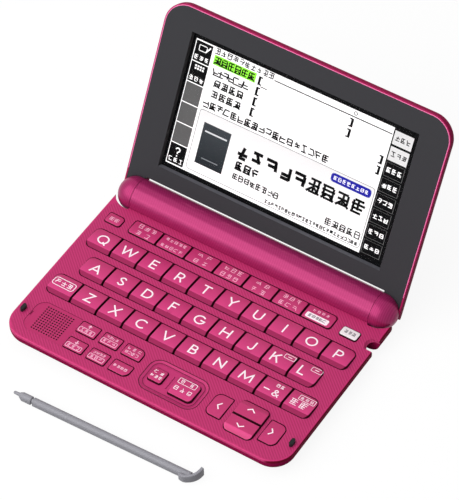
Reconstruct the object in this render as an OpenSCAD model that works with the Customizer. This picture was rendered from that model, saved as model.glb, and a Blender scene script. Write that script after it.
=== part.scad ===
// Clamshell electronic dictionary, opened on a table with its stylus lying in front of it.
// Origin: on the table, under the middle of the case. X to the right, Y to the hinge, Z up.

/* [Case] */
// Width of the case from side to side
case_w = 148; // [146:0.5:152]
// Depth of the closed case, from its front edge to the back of the hinge barrel
case_d = 105.5; // [105:0.5:108]
// Height of the keyboard face above the table
deck_h = 8.5; // [8.5:0.1:9]
// Height of the rubber feet that show under the case
foot_gap = 0.5; // [0.3:0.1:0.7]
// Radius of the front corners, seen from above
corner_r = 11; // [9:0.5:12]
// Radius that rolls the underside up into the sides
belly_r = 6; // [5:0.5:6]
// Thickness of the keyboard cover
deck_t = 1.3; // [1.2:0.1:1.4]
// Wall of the lower shell
wall = 1.3; // [1.1:0.1:1.5]

/* [Hinge] */
// Radius of the hinge barrel, which holds two AA cells in line
barrel_r = 8.5; // [8.4:0.05:8.6]
// Wall of the barrel
barrel_wall = 0.9; // [0.8:0.05:0.95]
// Distance from the middle of the case to the seam between barrel and end cap
barrel_end = 63.7; // [63:0.1:64.5]
// Angle by which the lid stands open, 0 when closed
lid_open = 117.17; // [90:1:150]
// Radius of the hinge pins
pin_r = 2; // [1.5:0.1:2.5]

/* [Lid] */
// Thickness of the lid
lid_t = 5.2; // [5:0.1:5.6]
// How far the screen frame lies behind the hinge axis, which leaves room for the keys
lid_drop = 1.5; // [1.4:0.1:2]
// Distance from the hinge axis to the free edge of the lid
lid_reach = 97; // [96:0.5:99]
// Distance from the hinge axis to the edge of the lid that faces the barrel
lid_foot = 9.4; // [9.2:0.1:11]
// Radius of the free corners of the lid
lid_corner_r = 11.5; // [9:0.5:13]
// Width of the coloured rim round the screen frame
rim_w = 0.8; // [0.6:0.1:1.2]
// Depth of the screen below its frame
screen_depth = 1.7; // [1.4:0.1:1.8]
// Width of the screen opening at the face of the frame
window_w = 118; // [112:1:120]
// Lower and upper edge of the screen opening, from the hinge axis
window_span = [17.2, 85.6]; // [15:0.1:90]

/* [Keys] */
// Pitch of the letter keys along a row
key_pitch = 13.9; // [13.7:0.05:13.95]
// Gap between neighbouring keys
key_gap = 0.8; // [0.6:0.1:1]
// Gap between a key and the opening round it
key_play = 0.3; // [0.25:0.05:0.35]
// Depth of the openings of the letter rows
row_d = 12.6; // [12:0.1:12.8]
// Height of the front ridge of a letter key above the keyboard face
key_rise = 1.3; // [0.8:0.1:1.5]
// Travel of a letter key
key_travel = 1; // [0.6:0.1:1]
// Travel of the function and navigation keys
button_travel = 0.6; // [0.4:0.1:0.6]

/* [Stylus] */
// Length of the stylus from its nib to the back of its hook
stylus_l = 94.6; // [90:0.5:96]
// Radius of the stylus shaft
stylus_r = 1.8; // [1.6:0.05:1.85]
// Clearance of the shaft in its channel
stylus_play = 0.1; // [0.05:0.05:0.1]
// Where the back of the hook lies on the table
stylus_at = [43.9, -72.1]; // [-80:0.1:60]
// Turn of the stylus on the table
stylus_turn = 1.9; // [0:0.1:5]

/* [Hidden] */
$fn = 64;
eps = 0.01;
big = 300;

half_w = case_w / 2;
front_y = -case_d / 2;
axis_y = case_d / 2 - barrel_r;
axis_z = foot_gap + barrel_r;
deck_low = deck_h - deck_t;
floor_z = foot_gap + 0.8;
cap_x = half_w - barrel_r;
reveal = 0.12;

bezel_n = -lid_drop;
lid_back_n = -lid_drop - lid_t;
glass_n = bezel_n - screen_depth;
glass_t = 0.5;
heel_wrap = 25;

// rows of letter keys: first legend to last, distance of the row's back edge from the hinge axis
row_keys = [
    ["q", "w", "e", "r", "t", "y", "u", "i", "o", "p"],
    ["a", "s", "d", "f", "g", "h", "j", "k", "l"],
    ["shift", "z", "x", "c", "v", "b", "n", "m", "symbol", "delete"]
];
row_back = [25.1, 41, 56.7];
marked_keys = ["f", "j"];

// boxes on the keyboard face: [left, right, back distance, front distance, corner radii]
// corner radii run back left, back right, front right, front left
end_r = 3;
tip_r = 0.6;
power_box = [-69.65, -60.75, 14.6, 21.3, [1, 2.4, 1.6, 1.6]];
home_box = [55.75, 65.15, 15.1, 21.1, [1.4, 1.4, 1.4, 1.4]];
strip_box = [-56.95, 51.75, 12.4, 21.3];
strip_count = 7;
speaker_box = [-66.85, -44.35, 74.1, 91.6, [5, 0.4, 0.4, 5]];
small_cols = [[-44.05, -33.75], [-31.85, -21.85], [-20.05, -9.65]];
small_rows = [[74.1, 81.4], [84.3, 91.6]];
island_box = [-5.45, 24.95, 74.1, 92, [5.5, 5.5, 5.5, 5.5]];
return_box = [-2.65, 4.95, 78.5, 86.7, [1.4, 1.4, 1.4, 1.4]];
enter_box = [9.35, 21.75, 77.4, 88.7, [1, 2.4, 2.4, 1]];
left_box = [28.55, 37.35, 75.9, 89, [3.4, 0.8, 0.8, 3.4]];
right_box = [56.25, 65.15, 76.2, 89.3, [0.8, 3.4, 3.4, 0.8]];
up_box = [39.65, 54.75, 73.2, 82.6, [3, 3, 0.6, 0.6]];
down_box = [39.65, 54.75, 82.8, 92.2, [0.6, 0.6, 3, 3]];
island_depth = 0.5;
island_slope = 1.6;
grille_n = 11;
grille_pitch = 1.35;
grille_hole_r = 0.34;

flange_t = 0.6;
flange_out = 0.6;
flange_top = deck_low - 0.1;
flange_low = flange_top - flange_t;

bumper_at = [70.6, 82.9];
bumper_h = 1.9;
foot_r = 2.8;
foot_at = [59, 42.5, 37.7];
boss_at = [[65.8, 47.3], [65.8, 72.4]];
boss_r = 2.1;
screw_r = 0.8;
head_r = 1.7;
head_h = 0.8;

board_z = 4.2;
board_t = 0.8;
sheet_t = 0.4;
speaker_r = 8;

cell_r = 7.15;
cell_l = 50.2;
hatch_half = 56;
hatch_angles = [-90, -20];

stow_d = 18.35;
stow_w = 6.5;
stow_z = floor_z + 0.25 + stylus_r + stylus_play;
stow_x = half_w - 9;
mouth_play = 0.5;
silo_top = stow_z + stylus_r + stylus_play + 0.25;
thumb_x = half_w - 0.9;
thumb_r = 5.11;
thumb_rise = 2.52;
silo_end = stow_x - 1.2;
silo_tip = half_w - stylus_l - 1;
hook_up = 5.5;
hook_down = 2.8;
hook_reach = 8.6;

CASE_NODES = ["base_top_cover", "base_bottom_cover", "barrel_housing", "battery_cover",
    "battery_cells", "battery_contacts", "main_board", "key_plate", "speaker_grille",
    "speaker", "rubber_feet", "lid_bumpers", "base_screws", "hinge_pins", "stylus_silo", "stylus"];
LID_NODES = ["lid_back_cover", "lid_bezel", "lcd_module", "touch_panel", "hinge_caps"];
BUTTON_NODES = ["power_key", "category_keys", "home_key", "small_keys", "return_key",
    "enter_key", "left_key", "right_key", "up_key", "down_key"];

// a rectangle with its own radius at each corner
module corner_rect(b) {
    y0 = axis_y - b[3];
    y1 = axis_y - b[2];
    difference() {
        translate([b[0], y0]) square([b[1] - b[0], y1 - y0]);
        corner_cut(b[0], y1, -1, 1, b[4][0]);
        corner_cut(b[1], y1, 1, 1, b[4][1]);
        corner_cut(b[1], y0, 1, -1, b[4][2]);
        corner_cut(b[0], y0, -1, -1, b[4][3]);
    }
}

// what a rounded corner at x, y leaves out, on the side that sx and sy point to
module corner_cut(x, y, sx, sy, r) {
    translate([x - sx * r, y - sy * r]) difference() {
        translate([sx > 0 ? 0 : -r - 1, sy > 0 ? 0 : -r - 1]) square(r + 1);
        circle(r);
    }
}

// the same box drawn in or let out on all sides
function grown(b, g) = [b[0] - g, b[1] + g, b[2] - g, b[3] + g, [for (r = b[4]) max(r + g, 0.1)]];

// section through an edge: x runs outwards to the side wall, y runs from z0 to z1
module edge_section(reach, z0, z1, low_r, high_r) {
    difference() {
        translate([0, z0]) square([reach, z1 - z0]);
        if (low_r > 0) translate([reach - low_r, z0 - eps]) difference() {
            translate([0, -1]) square([low_r + 1, low_r + 1 + eps]);
            translate([0, low_r + eps]) circle(low_r);
        }
        if (high_r > 0) translate([reach - high_r, z1 + eps]) difference() {
            translate([0, -high_r - eps]) square([high_r + 1, high_r + 1]);
            translate([0, -high_r - eps]) circle(high_r);
        }
    }
}

// a plate with two rounded corners at its front and the edge section all round, open at its back
module edged_plate(hw, y_front, y_back, r, z0, z1, low_r, high_r) {
    for (side = [-1, 1]) {
        translate([side * (hw - r), y_front + r, 0])
            rotate([0, 0, side > 0 ? -90 : 180])
            rotate_extrude(angle = 90) edge_section(r, z0, z1, low_r, high_r);
        translate([side * (hw - r), y_back, 0])
            rotate([90, 0, 0])
            linear_extrude(y_back - y_front - r)
            mirror([side > 0 ? 0 : 1, 0]) edge_section(r, z0, z1, low_r, high_r);
    }
    translate([hw - r, y_front + r, 0])
        rotate([0, 0, -90]) rotate([90, 0, 0])
        linear_extrude(2 * (hw - r)) edge_section(r, z0, z1, low_r, high_r);
    translate([r - hw, y_front + r, z0]) cube([2 * (hw - r), y_back - y_front - r, z1 - z0]);
}

// frame whose axis is the hinge axis, seen from the right
module at_hinge() {
    translate([0, axis_y, axis_z]) rotate([90, 0, 90]) children();
}

// frame of the lid: X along the hinge, Y up the lid, Z out of the screen
module at_lid() {
    translate([0, axis_y, axis_z]) rotate([180 - lid_open, 0, 0]) children();
}

// room for the barrel and for the domes of the lid at both ends of it
module hinge_clearance(z0, z1) {
    at_hinge() translate([0, 0, -barrel_end - 0.3]) cylinder(r = barrel_r + 0.05, h = 2 * barrel_end + 0.6);
    for (side = [-1, 1]) intersection() {
        translate([side * (barrel_end + 20.2), 0, 0]) cube([40, big, big], center = true);
        union() {
            translate([side * cap_x, axis_y, z0 - 1]) cylinder(r = barrel_r + 1, h = z1 - z0 + 2, $fn = 96);
            translate([side * cap_x, axis_y - 4.2 + 20, 0]) cube([40, 40, big], center = true);
        }
    }
}

module well(b, play = key_play) {
    translate([0, 0, deck_low - 1]) linear_extrude(deck_t + 2) corner_rect(grown(b, play));
}

function row_left(r) = -key_pitch * len(row_keys[r]) / 2;
function row_box(r) = [row_left(r) + key_gap / 2, -row_left(r) - key_gap / 2,
    row_back[r] + key_play, row_back[r] + row_d - key_play, [end_r, end_r, end_r, end_r]];
function letter_box(r, i) = let (last = len(row_keys[r]) - 1)
    [row_left(r) + i * key_pitch + key_gap / 2, row_left(r) + (i + 1) * key_pitch - key_gap / 2,
    row_back[r] + key_play, row_back[r] + row_d - key_play,
    [i == 0 ? end_r : tip_r, i == last ? end_r : tip_r, i == last ? end_r : tip_r, i == 0 ? end_r : tip_r]];
strip_pitch = (strip_box[1] - strip_box[0]) / strip_count;
function strip_key_box(i) = [strip_box[0] + i * strip_pitch + key_gap / 2,
    strip_box[0] + (i + 1) * strip_pitch - key_gap / 2, strip_box[2] + key_play, strip_box[3] - key_play,
    [i == 0 ? 1.2 : tip_r, i == strip_count - 1 ? 2 : tip_r,
    i == strip_count - 1 ? 1.6 : tip_r, i == 0 ? 1.6 : tip_r]];
function small_key_box(c, r) = grown([small_cols[c][0], small_cols[c][1], small_rows[r][0], small_rows[r][1],
    [0.6 + key_play, c == 2 && r == 0 ? 3.3 : 0.9, c == 2 && r == 1 ? 3.3 : 0.9, 0.6 + key_play]], -key_play);

module base_top_cover() {
    color("#c73a72") difference() {
        edged_plate(half_w, front_y, axis_y, corner_r, deck_low, deck_h, 0, 0.8);
        hinge_clearance(deck_low, deck_h);
        for (r = [0:2]) well(row_box(r));
        well([strip_box[0], strip_box[1], strip_box[2], strip_box[3], [1.5, 2.2, 1.9, 1.9]], 0);
        well(power_box, 0);
        well(home_box, 0);
        for (c = [0:2]) for (r = [0:1]) well(small_key_box(c, r));
        well(speaker_box, 0.1);
        for (b = [return_box, enter_box, left_box, right_box]) well(b, 0);
        well([up_box[0], up_box[1], up_box[2], down_box[3], [3, 3, 3, 3]], 0);
        hull() {
            translate([0, 0, deck_h + eps]) linear_extrude(eps) corner_rect(island_box, $fn = 32);
            translate([0, 0, deck_h - island_depth]) linear_extrude(eps)
                corner_rect(grown(island_box, -island_slope), $fn = 32);
        }
        for (side = [-1, 1]) bumper_hole(side);
        intersection() {
            translate([thumb_x, axis_y - stow_d, deck_h + thumb_rise]) sphere(r = thumb_r);
            translate([thumb_x, axis_y - stow_d, 0]) cube([20, stow_w, big], center = true);
        }
    }
    color("#c73a72") intersection() {
        translate([(return_box[1] + enter_box[0]) / 2 + 0.4, axis_y - 82.8, deck_h - island_depth])
            rotate([90, 0, 0]) cylinder(r = 0.35, h = 7.4, center = true, $fn = 24);
        translate([0, 0, deck_h - island_depth - 0.1]) cylinder(r = big, h = 5);
    }
}

module bumper_plan(side, g) {
    translate([side * bumper_at[0], axis_y - bumper_at[1]]) {
        square([2 * (0.85 + g), 2.1], center = true);
        for (end = [-1, 1]) translate([0, end * 1.05]) circle(0.85 + g);
    }
}

module bumper_hole(side) {
    translate([0, 0, deck_h - 0.7]) linear_extrude(2) bumper_plan(side, 0.05);
}

module lid_bumpers() {
    color("#26262a") for (side = [-1, 1])
        translate([0, 0, deck_h - 0.7]) linear_extrude(bumper_h + 0.7) bumper_plan(side, 0);
}

module foot_places() {
    for (side = [-1, 1]) {
        translate([side * foot_at[0], -foot_at[1], 0]) children();
        translate([side * foot_at[0], foot_at[2], 0]) children();
    }
}

module boss_places() {
    for (side = [-1, 1]) for (p = boss_at) translate([side * p[0], axis_y - p[1], 0]) children();
}

module base_bottom_cover() {
    rear_wall_y = axis_y - 11.4;
    color("#8e2550") difference() {
        union() {
            difference() {
                union() {
                    edged_plate(half_w, front_y, axis_y, corner_r, foot_gap, deck_low - reveal, belly_r, 0);
                    edged_plate(half_w - 0.5, front_y + 0.5, axis_y, corner_r - 0.5, deck_low - 1, deck_low, 0, 0);
                }
                difference() {
                    edged_plate(half_w - wall, front_y + wall, axis_y + 1, corner_r - wall,
                        floor_z, deck_h, belly_r - wall, 0);
                    for (side = [-1, 1]) translate([side * (barrel_end + 8.3), rear_wall_y + 20, 0])
                        cube([20, 40, big], center = true);
                }
            }
            foot_places() cylinder(r = foot_r + 0.9, h = floor_z + 0.6);
            boss_places() cylinder(r = boss_r, h = deck_low);
            intersection() {
                translate([silo_end, axis_y - stow_d - stow_w / 2 - 1.1, foot_gap + 0.1])
                    cube([big, stow_w + 2.2, deck_low - foot_gap - 0.1]);
                edged_plate(half_w - 0.5, front_y + 0.5, axis_y, corner_r - 0.5,
                    foot_gap + 0.1, deck_low, belly_r - 0.5, 0);
            }
        }
        translate([0, 0, -1]) linear_extrude(foot_gap + 1) square(big, center = true);
        foot_places() translate([0, 0, -1]) cylinder(r = foot_r + 0.05, h = foot_gap + 1.5);
        boss_places() {
            cylinder(r = head_r + 0.1, h = foot_gap + head_h);
            cylinder(r = screw_r, h = deck_low - 0.6);
        }
        hinge_clearance(foot_gap, deck_low);
        translate([stow_x, axis_y - stow_d - stow_w / 2, -1]) cube([20, stow_w, deck_h + 2]);
        translate([silo_end, axis_y - stow_d, stow_z]) rotate([0, 90, 0])
            cylinder(r = stylus_r + mouth_play, h = 10);
        translate([silo_end - 1, axis_y - stow_d - stow_w, silo_top + 0.1])
            cube([stow_x + 1.2 - silo_end, 2 * stow_w, deck_h]);
    }
}

module rubber_feet() {
    color("#26262a") foot_places() cylinder(r = foot_r, h = foot_gap + 0.5);
}

module base_screws() {
    color("silver") difference() {
        boss_places() {
            translate([0, 0, foot_gap + 0.05]) cylinder(r = head_r, h = head_h - 0.05);
            cylinder_from(foot_gap + head_h, deck_low - 1, screw_r);
        }
        boss_places() for (turn = [0, 90]) rotate([0, 0, turn])
            translate([0, 0, foot_gap]) cube([2, 0.45, 0.8], center = true);
    }
}

module cylinder_from(z0, z1, r) {
    translate([0, 0, z0]) cylinder(r = r, h = z1 - z0);
}

// a sector of the barrel wall between two angles, measured from the back upwards
module barrel_sector(r_in, r_out, a0, a1, half_l) {
    at_hinge() translate([0, 0, -half_l]) rotate([0, 0, a0])
        rotate_extrude(angle = a1 - a0) translate([r_in, 0]) square([r_out - r_in, 2 * half_l]);
}

module barrel_housing() {
    inner_r = barrel_r - barrel_wall;
    color("#c73a72") difference() {
        at_hinge() translate([0, 0, -barrel_end]) cylinder(r = barrel_r, h = 2 * barrel_end, $fn = 96);
        at_hinge() translate([0, 0, -barrel_end + 4]) cylinder(r = inner_r, h = 2 * barrel_end - 8);
        at_hinge() translate([0, 0, -big]) cylinder(r = pin_r + 0.05, h = 2 * big);
        barrel_sector(inner_r - 1, barrel_r + 1, hatch_angles[0], hatch_angles[1], hatch_half);
    }
}

module battery_cover() {
    gap_angle = 1;
    color("#8e2550") {
        barrel_sector(barrel_r - barrel_wall + 0.1, barrel_r, hatch_angles[0] + gap_angle,
            hatch_angles[1] - gap_angle, hatch_half - 0.2);
        for (i = [-3:3]) at_hinge() rotate([0, 0, -48 + 3.2 * i])
            translate([barrel_r - 0.12, 0, 0]) cube([0.5, 0.22, 14], center = true);
    }
}

module battery_cells() {
    nub_r = 2.6;
    nub_l = 1;
    color("#d9d2bc") for (i = [0, 1]) at_hinge() translate([0, 0, -cell_l - 0.3 + i * (cell_l + 0.6)]) {
        cylinder(r = cell_r, h = cell_l - nub_l);
        translate([0, 0, cell_l - nub_l]) cylinder(r = nub_r, h = nub_l);
    }
}

// the spring at the flat end of the cells is one unbroken conical coil of round wire
module battery_contacts() {
    wire_r = 0.3;
    turns = 4;
    steps = 18;
    sides = 6;
    coil_l = 7.4;
    start = -barrel_end + 4.75;
    rings = turns * steps;
    function coil_at(k) = let (a = 360 * k / steps, f = k / rings, r = 5.2 - 2.4 * f)
        [r * cos(a), r * sin(a), start + wire_r + 0.2 + (coil_l - 0.4) * f];
    function ring_at(k) = let (a = 360 * k / steps, c = coil_at(k))
        [for (j = [0:sides - 1]) c + wire_r * (cos(360 * j / sides) * [cos(a), sin(a), 0]
            + sin(360 * j / sides) * [0, 0, 1])];
    points = [for (k = [0:rings]) each ring_at(k)];
    faces = concat(
        [for (k = [0:rings - 1]) for (j = [0:sides - 1]) let (m = (j + 1) % sides)
            [k * sides + j, k * sides + m, (k + 1) * sides + m]],
        [for (k = [0:rings - 1]) for (j = [0:sides - 1]) let (m = (j + 1) % sides)
            [k * sides + j, (k + 1) * sides + m, (k + 1) * sides + j]],
        [[for (j = [sides - 1:-1:0]) j]],
        [[for (j = [0:sides - 1]) rings * sides + j]]);
    color("silver") at_hinge() {
        polyhedron(points, faces);
        translate([0, 0, start - 0.6]) cylinder(r = 6, h = 0.6);
        translate([0, 0, cell_l + 0.35]) cylinder(r = 6, h = 0.5);
    }
}

module main_board() {
    color("#2f6b45") difference() {
        translate([0, 0, board_z]) linear_extrude(board_t)
            corner_rect([-61.5, 61.5, 24.2, 82.3, [1, 1, 1, 1]]);
        translate([speaker_mid()[0], speaker_mid()[1], 0]) cylinder(r = speaker_r + 0.5, h = 20);
    }
}

function speaker_mid() = [(speaker_box[0] + speaker_box[1]) / 2, axis_y - (speaker_box[2] + speaker_box[3]) / 2];

// plate that carries the key domes, stepped up at the back where the stylus channel runs under it
module key_plate() {
    top = board_z + board_t;
    color("#4a4a50") {
        translate([0, 0, top]) linear_extrude(sheet_t) difference() {
            union() {
                corner_rect([-70.5, 70.5, 23.2, 72.5, [1, 1, 1, 1]]);
                corner_rect([-44.2, 65.4, 71, 92.6, [1, 1, 4, 1]]);
            }
            for (side = [-1, 1]) for (p = boss_at) translate([side * p[0], axis_y - p[1]])
                circle(boss_r + 0.4);
            translate([foot_at[0], -foot_at[1]]) circle(foot_r + 1.2);
        }
        translate([0, 0, silo_top]) linear_extrude(0.25)
            corner_rect([-70.5, 62.3, 12.2, 23.2, [1, 0.2, 0.2, 0.2]]);
        translate([0, 0, top]) linear_extrude(silo_top + 0.25 - top)
            corner_rect([-62, 62, 22.3, 23.2, [0.1, 0.1, 0.1, 0.1]]);
    }
}

module speaker_grille() {
    mid = speaker_mid();
    first = -(grille_n - 1) / 2 * grille_pitch;
    color("#c73a72") difference() {
        translate([0, 0, deck_low]) linear_extrude(deck_t - 0.15) corner_rect(speaker_box);
        translate([mid[0] + 0.65, mid[1], 0])
            for (i = [0:grille_n - 1]) for (j = [0:grille_n - 1])
                translate([first + i * grille_pitch, first + j * grille_pitch, 0])
                    cylinder(r = grille_hole_r, h = 20, $fn = 16);
        translate([speaker_box[0] + 0.6, mid[1], deck_h]) cube([0.8, 2.6, 1.2], center = true);
    }
}

module speaker() {
    mid = speaker_mid();
    color("#303034") translate([mid[0], mid[1], 0]) {
        cylinder_from(deck_low - 0.9, deck_low - 0.05, speaker_r);
        cylinder_from(deck_low - 2.8, deck_low - 0.9, speaker_r - 1.6);
    }
}

module stylus_silo() {
    color("#303034") difference() {
        translate([silo_tip - 1.2, axis_y - stow_d - 2.5, floor_z])
            cube([silo_end - silo_tip + 1.2, 5, silo_top - floor_z]);
        translate([silo_tip, axis_y - stow_d, stow_z]) rotate([0, 90, 0])
            cylinder(r = stylus_r + stylus_play, h = big);
    }
}

// hook of the stylus in its own plane: shaft along -x, blade up, outer edge like the side of the case
module hook_plan() {
    difference() {
        intersection() {
            translate([-hook_reach, -hook_down]) square([hook_reach, hook_up + hook_down]);
            union() {
                translate([-hook_reach, -hook_down + 5.4]) square([hook_reach, hook_up]);
                translate([-5.4, -hook_down + 5.4]) circle(5.4);
            }
        }
        translate([-9.4, 8.6]) circle(7.4);
        translate([0, hook_up]) rotate([0, 0, 58]) square([4, 0.9], center = true);
    }
}

module stylus() {
    nib_l = 3.3;
    cone_l = 1.4;
    groove = 10;
    shaft_end = hook_reach - 2.6;
    color("#8f8f96") translate([stylus_at[0], stylus_at[1], stylus_r]) rotate([0, 0, stylus_turn]) {
        translate([0, 0, -stylus_r + 0.1]) linear_extrude(2 * stylus_r - 0.2) hook_plan();
        rotate([0, -90, 0]) difference() {
            translate([0, 0, shaft_end]) cylinder(r = stylus_r, h = stylus_l - shaft_end - nib_l - cone_l);
            translate([0, 0, stylus_l - groove - 0.4]) difference() {
                cylinder(r = stylus_r + 1, h = 0.8);
                translate([0, 0, -1]) cylinder(r = stylus_r - 0.35, h = 3);
            }
        }
        rotate([0, -90, 0]) translate([0, 0, stylus_l - nib_l - cone_l])
            cylinder(r1 = stylus_r, r2 = 1.2, h = cone_l);
        rotate([0, -90, 0]) {
            translate([0, 0, stylus_l - nib_l]) cylinder(r1 = 0.85, r2 = 0.7, h = nib_l - 0.7);
            translate([0, 0, stylus_l - 0.7]) sphere(r = 0.7);
        }
    }
}

module hinge_pins() {
    color("silver") for (side = [-1, 1])
        translate([side * (barrel_end + 0.3), axis_y, axis_z]) rotate([0, 90, 0])
            cylinder(r = pin_r, h = 7.4, center = true);
}

// dome on a short neck at both ends of the hinge axis
module dome_solid(g, neck) {
    r = barrel_r + g;
    for (side = [-1, 1]) translate([side * cap_x, axis_y, axis_z]) rotate([0, 90 * side, 0])
        rotate_extrude($fn = 80) difference() {
            translate([0, -neck]) square([r, neck + r]);
            corner_cut(r, r, 1, 1, r);
        }
}

module hinge_caps() {
    color("#c73a72") difference() {
        dome_solid(0, cap_x - barrel_end - 0.2);
        for (side = [-1, 1]) translate([side * barrel_end, axis_y, axis_z]) rotate([0, 90, 0])
            cylinder(r = pin_r + 0.02, h = 8.4, center = true);
    }
}

// the outline that lid shell and screen frame share, drawn in by g
module lid_plate(g, n0, n1, back_r, face_r) {
    at_lid() rotate([0, 0, 180])
        edged_plate(half_w - g, -lid_reach + g, 0, lid_corner_r - g, n0, n1, back_r, face_r);
}

module lid_cut() {
    at_lid() translate([0, lid_foot - 20, 0]) cube([2 * barrel_end + 0.4, 40, 40], center = true);
    dome_solid(0.1, 6);
}

// the lower end of each lid arm rolls a little way round the hinge axis with the same edge section
module lid_heels() {
    at_lid() for (side = [-1, 1]) intersection() {
        rotate([0, 90, 0]) rotate([0, 0, 180]) mirror([0, 0, side > 0 ? 0 : 1])
            rotate([0, 0, 90]) rotate_extrude(angle = 90)
            translate([0, half_w - 8]) rotate([0, 0, 90]) mirror([0, 1])
            edge_section(8, 0, -lid_back_n, 0, 2.5);
        translate([0, 0, bezel_n - 20]) cube([big, big, 40], center = true);
        rotate([-heel_wrap, 0, 0]) translate([0, 20, 0]) cube([big, 40, 40], center = true);
    }
}

module lid_back_cover() {
    lcd_n = glass_n - 2.3;
    color("#a82a5e") difference() {
        union() {
            lid_plate(0, lid_back_n, bezel_n, 2.5, 0.3);
            lid_heels();
        }
        lid_plate(rim_w, glass_n, bezel_n + 1, 0, 0);
        lid_cut();
        at_lid() translate([-63.2, lid_foot + 2.2, lcd_n]) cube([126.4, 78.6, 20]);
    }
}

module lid_bezel() {
    color("#3f4046") difference() {
        lid_plate(rim_w + 0.06, glass_n, bezel_n, 0, 0.15);
        lid_cut();
        window_cut();
    }
}

// opening with sloped sides: two wedges that cross, one along each direction of the screen
module window_cut() {
    deep = glass_n - 0.1;
    high = bezel_n + 0.1;
    bevel = 0.75;
    at_lid() intersection() {
        translate([0, lid_reach, 0]) rotate([90, 0, 0]) linear_extrude(lid_reach) polygon([
            [-window_w / 2 + bevel, deep], [window_w / 2 - bevel, deep],
            [window_w / 2, high], [-window_w / 2, high]
        ]);
        translate([-half_w, 0, 0]) rotate([90, 0, 90]) linear_extrude(case_w) polygon([
            [window_span[0] + bevel, deep], [window_span[1] - bevel, deep],
            [window_span[1], high], [window_span[0], high]
        ]);
    }
}

module touch_panel() {
    color("#101014") at_lid() translate([-62, lid_foot + 4, glass_n - glass_t])
        cube([124, 75, glass_t]);
}

module lcd_module() {
    color("#d8dcdc") at_lid() translate([-62.8, lid_foot + 2.6, glass_n - 2.25])
        cube([125.6, 77.8, 1.7]);
}

// side view of a key: height of its top over the distance from its back edge
module key_profile(depth, back_h, ridge_h, ridge_at, front_h) {
    polygon([[0, flange_top - deck_h], [0, back_h], [ridge_at * 0.5, (back_h + ridge_h) / 2 + 0.12],
        [ridge_at, ridge_h], [depth, front_h], [depth, flange_top - deck_h]]);
}

// a key cap: its plan cut by its side view, with the flange that keeps it under the cover
module key_cap(b, back_h, ridge_h, ridge_at, front_h, back_flange = flange_out, front_flange = flange_out) {
    depth = b[3] - b[2];
    intersection() {
        translate([0, 0, flange_top - eps]) linear_extrude(10) corner_rect(b);
        translate([b[0] - 1, axis_y - b[2], deck_h])
            rotate([90, 0, -90]) mirror([0, 0, 1]) linear_extrude(b[1] - b[0] + 2)
            key_profile(depth, back_h, ridge_h, ridge_at, front_h);
    }
    translate([b[0] + 0.1, axis_y - b[3] - front_flange, flange_low])
        cube([b[1] - b[0] - 0.2, depth + back_flange + front_flange, flange_t]);
}

module letter_key(r, i) {
    b = letter_box(r, i);
    depth = b[3] - b[2];
    ridge_at = depth - 1.9;
    color("#e0428a") {
        key_cap(b, 0.1, key_rise, ridge_at, -0.15);
        if (len([for (m = marked_keys) if (m == row_keys[r][i]) m]) > 0)
            translate([(b[0] + b[1]) / 2, axis_y - b[2] - ridge_at, deck_h + key_rise - 0.1])
                rotate([0, 90, 0]) cylinder(r = 0.4, h = 2, center = true, $fn = 24);
    }
}

module button(b, back_h, ridge_h, ridge_part, front_h) {
    key_cap(b, back_h, ridge_h, ridge_part * (b[3] - b[2]), front_h);
}

module power_key() {
    color("#d8447f") button(grown(power_box, -key_play), 0.1, 0.7, 0.8, 0.5);
}

module home_key() {
    color("#eeeeec") button(grown(home_box, -key_play), 0.4, 0.8, 0.8, 0.6);
}

module category_keys() {
    color("#d8447f") for (i = [0:strip_count - 1]) button(strip_key_box(i), 0.1, 0.7, 0.85, 0.5);
}

module small_keys() {
    color("#d8447f") for (c = [0:2]) for (r = [0:1])
        button(small_key_box(c, r), 0.1, 0.7, 0.8, 0.5);
}

module return_key() {
    color("#d8447f") button(grown(return_box, -key_play), 0.1, 0.7, 0.8, 0.4);
}

module enter_key() {
    color("#d8447f") button(grown(enter_box, -key_play), 0.3, 1, 0.8, 0.6);
}

module left_key() {
    color("#d8447f") button(grown(left_box, -key_play), 0.1, 0.6, 0.8, 0.4);
}

module right_key() {
    color("#d8447f") button(grown(right_box, -key_play), 0.1, 0.6, 0.8, 0.4);
}

module up_key() {
    b = grown(up_box, -key_play);
    color("#d8447f") key_cap(b, 0.1, 1.3, 2.8, 1.15, flange_out, -0.2);
}

module down_key() {
    b = grown(down_box, -key_play);
    color("#d8447f") key_cap(b, 1.15, 1.3, b[3] - b[2] - 2.8, 0.1, -0.2, flange_out);
}

base_top_cover();
base_bottom_cover();
barrel_housing();
battery_cover();
battery_cells();
battery_contacts();
main_board();
key_plate();
speaker_grille();
speaker();
rubber_feet();
lid_bumpers();
base_screws();
hinge_pins();
stylus_silo();
stylus();
lid_back_cover();
lid_bezel();
lcd_module();
touch_panel();
hinge_caps();
power_key();
category_keys();
home_key();
small_keys();
return_key();
enter_key();
left_key();
right_key();
up_key();
down_key();
for (r = [0:2]) for (i = [0:len(row_keys[r]) - 1])
    letter_key(r, i);
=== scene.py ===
import math

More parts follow.
